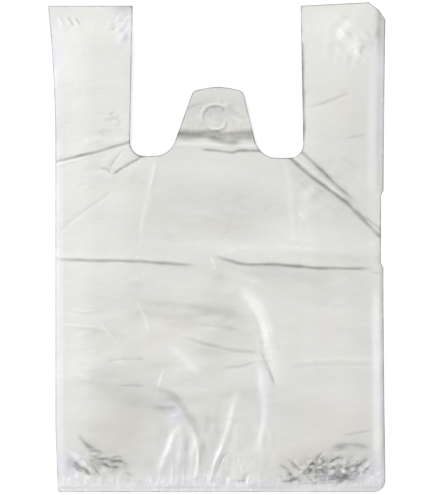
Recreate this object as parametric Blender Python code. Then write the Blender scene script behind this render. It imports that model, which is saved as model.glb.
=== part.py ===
"""Plastic carrier bag with two loop handles and a hanging tab, lying flat on its back.

The bag is one tube of film with a gusset folded into each side. Over a gusset it is four films
deep: back panel, lower half of the gusset, upper half of the gusset, front panel. Between the
gussets it is two films deep. The films are welded together across the bottom and across the
tops of the handles, and the mouth is punched out between the handles.

All films share one plan of triangles. Each point of the plan has eight heights, the under and
upper faces of the four films, so the films follow each other's creases and never cross.
Z is up, and the handles point to +Y. Lengths are in metres.
"""

import math

import bmesh
import bpy
from mathutils import Vector
from mathutils.geometry import delaunay_2d_cdt

# Film
FILM = 0.00002
LEAST_AIR = 0.00002
FOLD_WIDTH = 0.0003

FILM_COLOUR = (0.723, 0.723, 0.694, 1)
FILM_ROUGHNESS = 0.35

# Body
BODY_WIDTH = 0.300
MOUTH_HEIGHT = 0.3045
GUSSET_DEPTH = 0.079
BOTTOM_WELD = 0.003
RIGHT_CORNER_RADIUS = 0.011
LEFT_CORNER_RADIUS = 0.002

# How the side folds wander
BOTTOM_TUCK = 0.0023
TUCK_HEIGHT = 0.060
RIGHT_WAIST = 0.0020
RIGHT_NICK = 0.0022
NICK_LOW = 0.204
NICK_HIGH = 0.274
NICK_SLOPE = 0.004
FRONT_INSET = 0.0005
HANDLE_FAN = 0.0040

# Handles
HANDLE_RISE = 0.1375
RIGHT_RISE_EXTRA = 0.0032
LEFT_HANDLE_WIDTH = 0.0675
RIGHT_HANDLE_WIDTH = 0.0745
LEFT_SPREAD = 0.0068
SPREAD_LENGTH = 0.130
INNER_LEAN = 0.0026
HANDLE_WELD = 0.0018
CUT_CORNER_X = 0.015
CUT_CORNER_Y = 0.0155
CUT_CORNER_BULGE = 0.0016

# Mouth and hanging tab
MOUTH_TILT = 0.0009
MOUTH_RADIUS = 0.0125
TAB_ROOT_WIDTH = 0.081
TAB_TOP_WIDTH = 0.0455
TAB_HEIGHT = 0.0600
TAB_CROWN = 0.0050
TAB_OFFSET = 0.0055
TAB_LEAN = 0.0032
TAB_ROOT_RADIUS = 0.0205
TAB_CORNER_RADIUS = 0.006
TAB_CROWN_RADIUS = 0.060

# Punched ring in the tab, whose disc hangs on nicks
RING_RADIUS = 0.0110
RING_SLIT = 0.0004
RING_HEIGHT = 0.0345
RING_NICKS = 4
RING_SIDES = 32

# Air between the films, and how it closes towards folds and welds
BACK_AIR = 0.0006
GUSSET_AIR = 0.0006
FRONT_AIR = 0.0013
ROLL = 0.007
ROLL_SHARES = (0.4, 1.0)
TAB_LOFT = 0.45
SLACK = 0.00025
SLACK_WAVE_X = 0.061
SLACK_WAVE_Y = 0.083

# Fineness of the plan
MESH = 0.0132
CREASE_STEP = 0.0085
POINT_CLEARANCE = 0.0055
FLANK_CLEARANCE = 0.0014
ARC_STEP = math.radians(18)
STRAIGHT = math.radians(0.1)
SHARP_ANGLE = math.radians(30)
MERGE = 0.00002

# A crease fades over this many of its half widths, down to this share of its rise at its ends
CREASE_FADE = 2
CREASE_END = 0.25

# Creases of the front panel: rise in mm, half width in mm, and the points that it runs
# through, as shares of the bag's width from the left and of its height from the bottom
MM = 0.001
CREASES = (
    # Pleats that run from the mouth's left corner to the side
    (-0.9, 2.4, [(0.027, 0.673), (0.130, 0.692), (0.236, 0.712)]),
    (-0.8, 2.2, [(0.281, 0.685), (0.227, 0.665), (0.189, 0.647), (0.160, 0.660)]),
    (-0.4, 3.0, [(0.027, 0.524), (0.095, 0.565), (0.183, 0.612)]),
    # The fold straight across the bag, where it was folded in half
    (-1.1, 3.6, [(0.035, 0.478), (0.154, 0.474), (0.272, 0.472), (0.414, 0.464)]),
    (-1.1, 3.6, [(0.496, 0.481), (0.582, 0.465), (0.671, 0.465), (0.744, 0.460), (0.928, 0.455)]),
    (-0.7, 2.0, [(0.930, 0.448), (0.962, 0.446)]),
    # Pleats that run from the mouth's right corner to the side
    (-1.1, 2.2, [(0.709, 0.678), (0.744, 0.661), (0.818, 0.622), (0.883, 0.584), (0.942, 0.541)]),
    (+0.8, 3.0, [(0.753, 0.686), (0.804, 0.657), (0.892, 0.600)]),
    (-0.8, 2.0, [(0.930, 0.566), (0.958, 0.547)]),
    (-0.8, 2.0, [(0.936, 0.541), (0.958, 0.531)]),
    # Long soft ridge right of the middle, and the ridges and grooves below it
    (+1.0, 7.0, [(0.567, 0.422), (0.620, 0.367), (0.656, 0.310), (0.671, 0.239), (0.697, 0.204)]),
    (+0.8, 3.6, [(0.632, 0.259), (0.638, 0.188), (0.635, 0.116)]),
    (-0.6, 3.6, [(0.479, 0.300), (0.523, 0.290), (0.612, 0.278)]),
    (-0.5, 2.8, [(0.514, 0.255), (0.567, 0.257), (0.606, 0.263)]),
    (-0.4, 2.0, [(0.189, 0.269), (0.281, 0.276)]),
    (-0.4, 2.0, [(0.213, 0.220), (0.287, 0.214)]),
    # Gathers that rise from the bottom weld
    (+1.4, 4.0, [(0.558, 0.188), (0.532, 0.127), (0.508, 0.096), (0.487, 0.049)]),
    (-0.8, 2.0, [(0.532, 0.086), (0.514, 0.065), (0.499, 0.035)]),
    (+1.2, 3.6, [(0.381, 0.122), (0.346, 0.065), (0.331, 0.039)]),
    (+1.0, 3.6, [(0.419, 0.122), (0.443, 0.065), (0.431, 0.024)]),
    # Short gathers along the bottom weld
    (+0.6, 2.4, [(0.080, 0.012), (0.083, 0.030)]),
    (+0.6, 2.4, [(0.198, 0.012), (0.196, 0.034)]),
    (+0.7, 2.4, [(0.313, 0.012), (0.309, 0.040)]),
    (+0.6, 2.4, [(0.532, 0.012), (0.537, 0.034)]),
    (+0.6, 2.4, [(0.591, 0.012), (0.597, 0.030)]),
    # Crumpled left corner
    (-1.0, 2.4, [(0.095, 0.112), (0.109, 0.096), (0.168, 0.076)]),
    (-1.0, 2.0, [(0.148, 0.067), (0.183, 0.061), (0.222, 0.061)]),
    (-1.0, 2.0, [(0.071, 0.065), (0.095, 0.049), (0.139, 0.029)]),
    (+0.9, 2.0, [(0.124, 0.059), (0.145, 0.045), (0.165, 0.029)]),
    (-0.8, 2.0, [(0.230, 0.045), (0.254, 0.029)]),
    # Crumpled right corner
    (-1.2, 3.0, [(0.857, 0.088), (0.892, 0.096), (0.951, 0.088)]),
    (-1.3, 2.6, [(0.866, 0.041), (0.910, 0.053), (0.957, 0.065)]),
    (-1.0, 2.2, [(0.715, 0.065), (0.750, 0.043)]),
    (-0.9, 2.2, [(0.685, 0.055), (0.733, 0.024)]),
    (-1.3, 2.4, [(0.801, 0.082), (0.789, 0.061), (0.824, 0.041)]),
    (+1.2, 2.6, [(0.833, 0.076), (0.854, 0.059), (0.898, 0.020)]),
    (-1.2, 2.4, [(0.762, 0.029), (0.821, 0.033), (0.863, 0.020)]),
    (+1.0, 2.2, [(0.928, 0.033), (0.963, 0.049)]),
    # Tab
    (-0.8, 3.2, [(0.390, 0.724), (0.464, 0.724), (0.544, 0.710), (0.603, 0.722)]),
    (-0.6, 2.0, [(0.502, 0.694), (0.567, 0.697), (0.632, 0.696)]),
    # Over the inner fold of the left gusset
    (+0.5, 2.6, [(0.325, 0.678), (0.310, 0.647), (0.278, 0.565), (0.278, 0.514)]),
    # Handles
    (-0.5, 2.0, [(0.035, 0.953), (0.080, 0.976)]),
    (+0.6, 2.0, [(0.216, 0.931), (0.242, 0.947)]),
    (+1.0, 2.8, [(0.877, 0.943), (0.907, 0.918), (0.945, 0.888)]),
    (+0.7, 2.2, [(0.928, 0.947), (0.957, 0.927)]),
    (-0.4, 2.6, [(0.780, 0.786), (0.848, 0.800), (0.892, 0.810)]),
    (-0.4, 2.2, [(0.877, 0.720), (0.945, 0.729)]),
)

# Places worked out from the sizes above, from the body's lower left corner
LEFT_TOP = MOUTH_HEIGHT + HANDLE_RISE
RIGHT_TOP = LEFT_TOP + RIGHT_RISE_EXTRA
RIGHT_INNER_FOLD = BODY_WIDTH - GUSSET_DEPTH
TAB_ROOT_MIDDLE = BODY_WIDTH / 2 - TAB_OFFSET
TAB_TOP_MIDDLE = TAB_ROOT_MIDDLE + TAB_LEAN
RING_CENTRE = ((TAB_ROOT_MIDDLE + TAB_TOP_MIDDLE) / 2, MOUTH_HEIGHT + RING_HEIGHT)

# The films and the air between them, from below: space n lies between heights n and n + 1
BACK_PANEL, BACK_GAP, LOWER_GUSSET, MIDDLE_GAP, UPPER_GUSSET, FRONT_GAP, FRONT_PANEL = range(7)
SPACES = frozenset(range(7))


def clamp(value, low=0.0, high=1.0):
    return max(low, min(high, value))


def smooth(value):
    """A slope from 0 to 1 with soft ends."""
    t = clamp(value)
    return t * t * (3 - 2 * t)


def roll(distance, length):
    """How far the films have opened at a distance from where they are joined."""
    return math.sin(math.pi / 2 * clamp(distance / length))


def left_side(y):
    """X of the left side fold."""
    tuck = BOTTOM_TUCK * clamp(1 - y / TUCK_HEIGHT)
    spread = LEFT_SPREAD * clamp((y - LEFT_TOP + SPREAD_LENGTH) / SPREAD_LENGTH) ** 2
    return tuck - spread


def right_side(y):
    """X of the back panel's right side fold."""
    nick = min(clamp((y - NICK_LOW) / NICK_SLOPE), clamp((NICK_HIGH - y) / NICK_SLOPE))
    return BODY_WIDTH - RIGHT_WAIST * math.sin(math.pi * clamp(y / RIGHT_TOP)) - RIGHT_NICK * nick


def front_side(y):
    """X of the front panel's right side fold, which lies inside the back panel's."""
    fan = HANDLE_FAN * clamp((y - NICK_HIGH + NICK_SLOPE) / NICK_SLOPE)
    return right_side(y) - FRONT_INSET - fan


def between(a, b, share):
    return a + (b - a) * share


def split_line(start, end, step):
    """Points from start up to but without end, at most a step apart."""
    count = max(1, math.ceil((end - start).length / step))
    return [start.lerp(end, i / count) for i in range(count)]


def rounded(corners, step):
    """An open line through corners (x, y, radius), with the inner corners rounded."""
    line = [Vector(corners[0][:2])]
    for (ax, ay, _), (px, py, radius), (bx, by, _) in zip(corners, corners[1:], corners[2:]):
        before, corner, after = Vector((ax, ay)), Vector((px, py)), Vector((bx, by))
        into, out = (corner - before).normalized(), (after - corner).normalized()
        turn = into.angle(out)
        if turn < STRAIGHT:
            continue
        room = min((corner - before).length, (after - corner).length) / 2
        reach = min(radius * math.tan(turn / 2), room)
        side = math.copysign(1, into.cross(out))
        start = corner - into * reach
        centre = start + side * reach / math.tan(turn / 2) * Vector((-into.y, into.x))
        count = math.ceil(turn / ARC_STEP)
        arm = start - centre
        for i in range(count + 1):
            angle = side * turn * i / count
            turned = Vector((
                arm.x * math.cos(angle) - arm.y * math.sin(angle),
                arm.x * math.sin(angle) + arm.y * math.cos(angle),
            ))
            line.append(centre + turned)
    line.append(Vector(corners[-1][:2]))
    fine = []
    for a, b in zip(line, line[1:]):
        fine += split_line(a, b, step)
    return fine + [line[-1]]


def side_marks(low=-FOLD_WIDTH, high=RIGHT_TOP + FOLD_WIDTH):
    """Heights of a side fold's points. All lines along a side share them, so they stay parallel."""
    bends = {
        -FOLD_WIDTH, 2 * LEFT_CORNER_RADIUS, 2 * RIGHT_CORNER_RADIUS, TUCK_HEIGHT,
        NICK_LOW, NICK_LOW + NICK_SLOPE, NICK_HIGH - NICK_SLOPE, NICK_HIGH,
        RIGHT_TOP - CUT_CORNER_Y, LEFT_TOP, RIGHT_TOP + FOLD_WIDTH,
    }
    order = sorted(bends)
    marks = []
    for start, end in zip(order, order[1:]):
        count = math.ceil((end - start) / MESH)
        marks += [between(start, end, i / count) for i in range(count)]
    return [y for y in marks + order[-1:] if low <= y <= high]


def handle_tops():
    """The top edges of the two handles, from left to right."""
    left_inner = LEFT_HANDLE_WIDTH + INNER_LEAN
    left = [Vector((left_side(LEFT_TOP), LEFT_TOP)), Vector((left_inner, LEFT_TOP))]
    outer = right_side(RIGHT_TOP - CUT_CORNER_Y)
    start = Vector((outer - CUT_CORNER_X, RIGHT_TOP))
    end = Vector((outer, RIGHT_TOP - CUT_CORNER_Y))
    bulge = (start + end) / 2 + CUT_CORNER_BULGE * (end - start).orthogonal().normalized()
    inner = Vector((BODY_WIDTH - RIGHT_HANDLE_WIDTH - INNER_LEAN, LEFT_TOP))
    return left, [inner, start, bulge, end]


def mouth():
    """The punched edge from the left handle's top, round the mouth and tab, to the right one's."""
    left_top, right_top = handle_tops()
    left_floor, right_floor = MOUTH_HEIGHT + MOUTH_TILT, MOUTH_HEIGHT - MOUTH_TILT
    tab_top = MOUTH_HEIGHT + TAB_HEIGHT
    half_root, half_top = TAB_ROOT_WIDTH / 2, TAB_TOP_WIDTH / 2
    return rounded([
        (left_top[1].x, left_top[1].y, 0),
        (LEFT_HANDLE_WIDTH, left_floor, MOUTH_RADIUS),
        (TAB_ROOT_MIDDLE - half_root, left_floor, TAB_ROOT_RADIUS),
        (TAB_TOP_MIDDLE - half_top, tab_top, TAB_CORNER_RADIUS),
        (TAB_TOP_MIDDLE, tab_top + TAB_CROWN, TAB_CROWN_RADIUS),
        (TAB_TOP_MIDDLE + half_top, tab_top, TAB_CORNER_RADIUS),
        (TAB_ROOT_MIDDLE + half_root, right_floor, TAB_ROOT_RADIUS),
        (BODY_WIDTH - RIGHT_HANDLE_WIDTH, right_floor, MOUTH_RADIUS),
        (right_top[0].x, right_top[0].y, 0),
    ], MESH)


def bottom():
    """The bottom edge from the left side fold to the right one."""
    right_foot = right_side(0)
    return rounded([
        (left_side(2 * LEFT_CORNER_RADIUS), 2 * LEFT_CORNER_RADIUS, 0),
        (left_side(0), 0, LEFT_CORNER_RADIUS),
        (right_foot, 0, RIGHT_CORNER_RADIUS),
        (right_side(2 * RIGHT_CORNER_RADIUS), 2 * RIGHT_CORNER_RADIUS, 0),
    ], MESH)


def outline():
    """The whole outline as a closed line, anticlockwise from the lower left corner."""
    left_top, right_top = handle_tops()
    right_marks = side_marks(2 * RIGHT_CORNER_RADIUS, RIGHT_TOP - CUT_CORNER_Y)
    left_marks = side_marks(2 * LEFT_CORNER_RADIUS, LEFT_TOP)
    points = bottom()
    points += [Vector((right_side(y), y)) for y in right_marks[1:-1]]
    inwards = right_top[::-1]
    for a, b in zip(inwards, inwards[1:]):
        points += split_line(a, b, MESH)
    points += mouth()[::-1]
    points += split_line(left_top[1], left_top[0], MESH)[1:]
    points += [Vector((left_side(y), y)) for y in left_marks[:0:-1]]
    return points


def is_inside(point, polygon):
    """Whether a point lies inside a closed line."""
    inside = False
    for a, b in zip(polygon, polygon[1:] + polygon[:1]):
        if (a.y > point.y) != (b.y > point.y):
            if point.x < between(a.x, b.x, (point.y - a.y) / (b.y - a.y)):
                inside = not inside
    return inside


def top_over(x):
    """Height of the handle's top edge over x."""
    left, right = handle_tops()
    line = left if x < BODY_WIDTH / 2 else right
    for a, b in zip(line, line[1:]):
        if x <= b.x:
            return between(a.y, b.y, clamp((x - a.x) / (b.x - a.x)))
    return line[-1].y


def ring(radius):
    """A circle round the tab's punched disc."""
    turns = [2 * math.pi * i / RING_SIDES for i in range(RING_SIDES)]
    return [Vector(RING_CENTRE) + radius * Vector((math.cos(t), math.sin(t))) for t in turns]


def crease_lines():
    """Each crease as rise, half width and a line of points in metres."""
    low = Vector((-LEFT_SPREAD, 0))
    size = Vector((BODY_WIDTH + LEFT_SPREAD, RIGHT_TOP))
    found = []
    for rise, half_width, shares in CREASES:
        corners = [Vector((low.x + u * size.x, low.y + v * size.y)) for u, v in shares]
        line = []
        for a, b in zip(corners, corners[1:]):
            line += split_line(a, b, CREASE_STEP)
        found.append((rise * MM, half_width * MM, line + [corners[-1]]))
    return found


def crease_at(point, line, half_width):
    """Share of a crease's rise at a point: 1 on its line, 0 beyond its flanks and its ends."""
    best, along, length = None, 0.0, 0.0
    for a, b in zip(line, line[1:]):
        run = b - a
        share = clamp((point - a).dot(run) / run.length_squared)
        gap = (point - a - run * share).length
        if best is None or gap < best:
            best, along = gap, length + share * run.length
        length += run.length
    fade = clamp(CREASE_END + min(along, length - along) / (CREASE_FADE * half_width))
    return clamp(1 - best / half_width) * fade


class Plan:
    """Points and fixed lines from which the triangles of the plan are made."""

    def __init__(self):
        self.points = []
        self.lines = []
        self.cells = {}

    def cell(self, point):
        return round(point.x / POINT_CLEARANCE), round(point.y / POINT_CLEARANCE)

    def add(self, point):
        self.cells.setdefault(self.cell(point), []).append(point)
        self.points.append(point)
        return len(self.points) - 1

    def add_line(self, line, closed=False):
        numbers = [self.add(point) for point in line]
        self.lines += list(zip(numbers, numbers[1:]))
        if closed:
            self.lines.append((numbers[-1], numbers[0]))

    def is_clear(self, point, clearance):
        column, row = self.cell(point)
        for i in (-1, 0, 1):
            for j in (-1, 0, 1):
                for other in self.cells.get((column + i, row + j), ()):
                    if (other - point).length < clearance:
                        return False
        return True

    def triangles(self):
        points, _, faces, _, _, _ = delaunay_2d_cdt(self.points, self.lines, [], 0, MERGE)
        return points, [tuple(face) for face in faces]


def side_lines(plan):
    """The side folds and the inner folds of the gussets, and where the films roll open by them."""
    marks = side_marks()
    plan.add_line([Vector((front_side(y), y)) for y in marks])
    plan.add_line([Vector((right_side(y) - FOLD_WIDTH, y)) for y in marks])
    for share in (0, *ROLL_SHARES):
        inset = FOLD_WIDTH + share * ROLL
        plan.add_line([Vector((left_side(y) + inset, y)) for y in marks])
        plan.add_line([Vector((front_side(y) - inset, y)) for y in marks])
    fold_top = MOUTH_HEIGHT + MOUTH_RADIUS
    for x, outward in ((GUSSET_DEPTH, -1), (RIGHT_INNER_FOLD, 1)):
        for shift in (0, FOLD_WIDTH, FOLD_WIDTH + ROLL):
            start, end = Vector((x + shift * outward, 0)), Vector((x + shift * outward, fold_top))
            plan.add_line(split_line(start, end, MESH) + [end])


def weld_lines(plan):
    """The edges of the welds, and where the films roll open by them."""
    for share in (0, *ROLL_SHARES):
        y = BOTTOM_WELD + share * ROLL
        start, end = Vector((left_side(0), y)), Vector((right_side(0), y))
        plan.add_line(split_line(start, end, MESH) + [end])
        for line in handle_tops():
            lowered = [point - Vector((0, HANDLE_WELD + share * ROLL)) for point in line]
            for a, b in zip(lowered, lowered[1:]):
                plan.add_line(split_line(a, b, MESH) + [b])


def ring_lines(plan):
    """The two sides of the slit round the disc, and the ends of the nicks that bridge it."""
    outer, inner = ring(RING_RADIUS + RING_SLIT), ring(RING_RADIUS)
    plan.add_line(outer, closed=True)
    plan.add_line(inner, closed=True)
    for i in range(RING_NICKS):
        for side in (i * RING_SIDES // RING_NICKS, i * RING_SIDES // RING_NICKS + 1):
            plan.add_line([inner[side], outer[side]])


def make_plan(edge, creases):
    """The plan's points and triangles."""
    plan = Plan()
    plan.add_line(edge, closed=True)
    side_lines(plan)
    weld_lines(plan)
    ring_lines(plan)
    for _, _, line in creases:
        plan.add_line(line)
    for _, half_width, line in creases:
        for a, b in zip(line, line[1:]):
            across = half_width * Vector((a.y - b.y, b.x - a.x)).normalized()
            for point in (a + across, a - across):
                if is_inside(point, edge) and plan.is_clear(point, FLANK_CLEARANCE):
                    plan.add(point)
    row, y = 0, MESH / 2
    while y < RIGHT_TOP:
        x = -LEFT_SPREAD + MESH * (row % 2) / 2
        while x < BODY_WIDTH:
            point = Vector((x, y))
            if is_inside(point, edge) and plan.is_clear(point, POINT_CLEARANCE):
                plan.add(point)
            x += MESH
        y += MESH * math.sqrt(3) / 2
        row += 1
    return plan.triangles()


def is_slit(point):
    """Whether a point lies in the slit round the tab's disc, and not in a nick."""
    if (point - Vector(RING_CENTRE)).length > RING_RADIUS + 2 * RING_SLIT:
        return False
    if not is_inside(point, ring(RING_RADIUS + RING_SLIT)) or is_inside(point, ring(RING_RADIUS)):
        return False
    arm = point - Vector(RING_CENTRE)
    side = (math.atan2(arm.y, arm.x) % (2 * math.pi)) / (2 * math.pi) * RING_SIDES
    return side % (RING_SIDES / RING_NICKS) > 1


def filled_spaces(point, edge):
    """Which of the spaces between the heights are film at a point of the plan."""
    if not is_inside(point, edge) or is_slit(point):
        return frozenset()
    x, y = point
    if y < BOTTOM_WELD or y > top_over(x) - HANDLE_WELD:
        return SPACES
    filled = {BACK_PANEL}
    over_gusset = x < GUSSET_DEPTH or x > RIGHT_INNER_FOLD
    if over_gusset:
        filled.add(LOWER_GUSSET)
        if x < left_side(y) + FOLD_WIDTH or x > right_side(y) - FOLD_WIDTH:
            filled.add(BACK_GAP)
    if x < front_side(y):
        filled.add(FRONT_PANEL)
        if over_gusset:
            filled.add(UPPER_GUSSET)
            if x < left_side(y) + FOLD_WIDTH or x > front_side(y) - FOLD_WIDTH:
                filled.add(FRONT_GAP)
            if GUSSET_DEPTH - FOLD_WIDTH < x < RIGHT_INNER_FOLD + FOLD_WIDTH:
                filled.add(MIDDLE_GAP)
    return frozenset(filled)


def film_heights(point, creases):
    """The eight heights of the films' faces over a point of the plan."""
    x, y = point
    ends = roll(y - BOTTOM_WELD, ROLL) * roll(top_over(x) - HANDLE_WELD - y, ROLL)
    left = roll(x - left_side(y) - FOLD_WIDTH, ROLL)
    back = ends * min(left, roll(right_side(y) - FOLD_WIDTH - x, ROLL))
    front = ends * min(left, roll(front_side(y) - FOLD_WIDTH - x, ROLL))
    in_left = roll(GUSSET_DEPTH - FOLD_WIDTH - x, ROLL)
    in_right = roll(x - RIGHT_INNER_FOLD - FOLD_WIDTH, ROLL)
    if abs(x - TAB_ROOT_MIDDLE) < TAB_ROOT_WIDTH / 2:
        front *= between(1, TAB_LOFT, smooth((y - MOUTH_HEIGHT - MOUTH_TILT) / TAB_HEIGHT))
    wave = math.sin(2 * math.pi * x / SLACK_WAVE_X) * math.sin(2 * math.pi * y / SLACK_WAVE_Y)
    rise = FRONT_AIR + SLACK * wave
    for height, half_width, line in creases:
        rise += height * crease_at(point, line, half_width)
    airs = {
        BACK_GAP: BACK_AIR * back,
        MIDDLE_GAP: GUSSET_AIR * ends * max(in_left, in_right),
        FRONT_GAP: rise * front,
    }
    heights = [0.0]
    for space in range(len(SPACES)):
        heights.append(heights[-1] + (LEAST_AIR + max(0.0, airs[space]) if space in airs else FILM))
    return heights


def skin(points, triangles, spaces, heights):
    """The closed surface of all spaces that are film."""
    mesh = bmesh.new()
    corners = {}

    def corner(point, level):
        if (point, level) not in corners:
            corners[point, level] = mesh.verts.new((*points[point], heights[point][level]))
        return corners[point, level]

    sides = {}
    for number, triangle in enumerate(triangles):
        for a, b in zip(triangle, triangle[1:] + triangle[:1]):
            sides[a, b] = number
    for number, triangle in enumerate(triangles):
        filled = spaces[number]
        for level in range(len(SPACES) + 1):
            under, over = level - 1 in filled, level in filled
            if under != over:
                order = triangle if under else triangle[::-1]
                mesh.faces.new([corner(point, level) for point in order])
        for a, b in zip(triangle, triangle[1:] + triangle[:1]):
            beside = spaces[sides[b, a]] if (b, a) in sides else frozenset()
            for space in filled - beside:
                mesh.faces.new([corner(a, space), corner(b, space), corner(b, space + 1)])
                mesh.faces.new([corner(a, space), corner(b, space + 1), corner(a, space + 1)])
    return mesh


def film_material():
    """Milky translucent film, softly glossy."""
    material = bpy.data.materials.new("milky_film")
    material.use_nodes = True
    shader = material.node_tree.nodes["Principled BSDF"]
    shader.inputs["Base Color"].default_value = FILM_COLOUR
    shader.inputs["Roughness"].default_value = FILM_ROUGHNESS
    shader.inputs["Metallic"].default_value = 0.0
    return material


def make_bag(collection):
    """The bag as one solid, centred over the origin."""
    edge = outline()
    creases = crease_lines()
    points, triangles = make_plan(edge, creases)
    spaces = []
    for triangle in triangles:
        middle = sum((points[i] for i in triangle), Vector((0, 0))) / 3
        spaces.append(filled_spaces(middle, edge))
    heights = [film_heights(point, creases) for point in points]
    bag_mesh = skin(points, triangles, spaces, heights)
    xs = [vertex.co.x for vertex in bag_mesh.verts]
    ys = [vertex.co.y for vertex in bag_mesh.verts]
    shift = Vector((-(min(xs) + max(xs)) / 2, -(min(ys) + max(ys)) / 2, 0))
    bmesh.ops.translate(bag_mesh, verts=bag_mesh.verts[:], vec=shift)
    data = bpy.data.meshes.new("carrier_bag")
    bag_mesh.to_mesh(data)
    bag_mesh.free()
    data.shade_smooth()
    data.set_sharp_from_angle(angle=SHARP_ANGLE)
    data.materials.append(film_material())
    collection.objects.link(bpy.data.objects.new("carrier_bag", data))


def main():
    for item in list(bpy.data.objects):
        bpy.data.objects.remove(item, do_unlink=True)
    collection = bpy.data.collections.new("plastic_carrier_bag")
    bpy.context.scene.collection.children.link(collection)
    make_bag(collection)


main()
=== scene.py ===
"""A milky film carrier bag with loop handles and a hanging tab, pressed flat, on a pale floor.

The file is laid out as an add-on and runs as a script. The bag is one closed film mesh: one tube of
film with a gusset in each side, so it is four films deep over the gussets and two between them, and
the films are welded together across the bottom and the handles' tops. The front film has a plan of
triangles that is finer at the creases, and the films under it share a calm one. Each point of a plan
has eight heights, the faces of four films.

Lengths are in metres. Routes of creases are read off the photograph, in pixels of its frame.
"""

import math

import bpy
import numpy as np
from bpy.props import FloatProperty, FloatVectorProperty, IntProperty, PointerProperty
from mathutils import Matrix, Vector
from mathutils.geometry import delaunay_2d_cdt
from mathutils.kdtree import KDTree


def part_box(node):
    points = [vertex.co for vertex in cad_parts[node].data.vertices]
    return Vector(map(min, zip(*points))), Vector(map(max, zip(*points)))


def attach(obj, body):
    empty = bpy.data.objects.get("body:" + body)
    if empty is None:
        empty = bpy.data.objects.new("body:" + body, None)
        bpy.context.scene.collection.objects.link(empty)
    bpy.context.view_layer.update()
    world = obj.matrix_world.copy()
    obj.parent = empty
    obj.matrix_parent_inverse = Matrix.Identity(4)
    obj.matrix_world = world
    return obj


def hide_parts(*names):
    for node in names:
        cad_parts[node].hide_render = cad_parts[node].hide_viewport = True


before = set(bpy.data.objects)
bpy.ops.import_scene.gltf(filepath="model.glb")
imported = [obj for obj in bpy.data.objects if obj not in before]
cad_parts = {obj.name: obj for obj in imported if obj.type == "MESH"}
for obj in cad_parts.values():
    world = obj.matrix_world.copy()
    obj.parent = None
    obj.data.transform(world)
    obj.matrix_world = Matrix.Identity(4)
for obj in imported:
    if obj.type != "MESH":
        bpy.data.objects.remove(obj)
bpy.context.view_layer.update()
CAD_LOW, CAD_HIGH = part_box("carrier_bag")

bl_info = {
    "name": "Flat Carrier Bag",
    "version": (1, 0, 0),
    "blender": (4, 5, 0),
    "location": "3D View > Sidebar > Carrier Bag",
    "description": "Makes a film carrier bag pressed flat, with its floor, lamps and camera",
    "category": "Add Mesh",
}

MM = 0.001

# The stage: how far off the lamps stand, the right high lamp's light as a share of the left one's,
# half the floor's width, and how far the floor lies below the bag
LAMP_DISTANCE = 4.0
RIGHT_GLEAM = 0.6
FLOOR_HALF = 4.0
FLOOR_DROP = 0.00005

# The photograph's frame: its size, the bag's box in it, and the size of a pixel on the bag
PHOTO_SIZE = (435, 495)
PHOTO_LEFT, PHOTO_BOTTOM = 48.0, 492.0
PIXEL = 0.909 * MM

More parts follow.
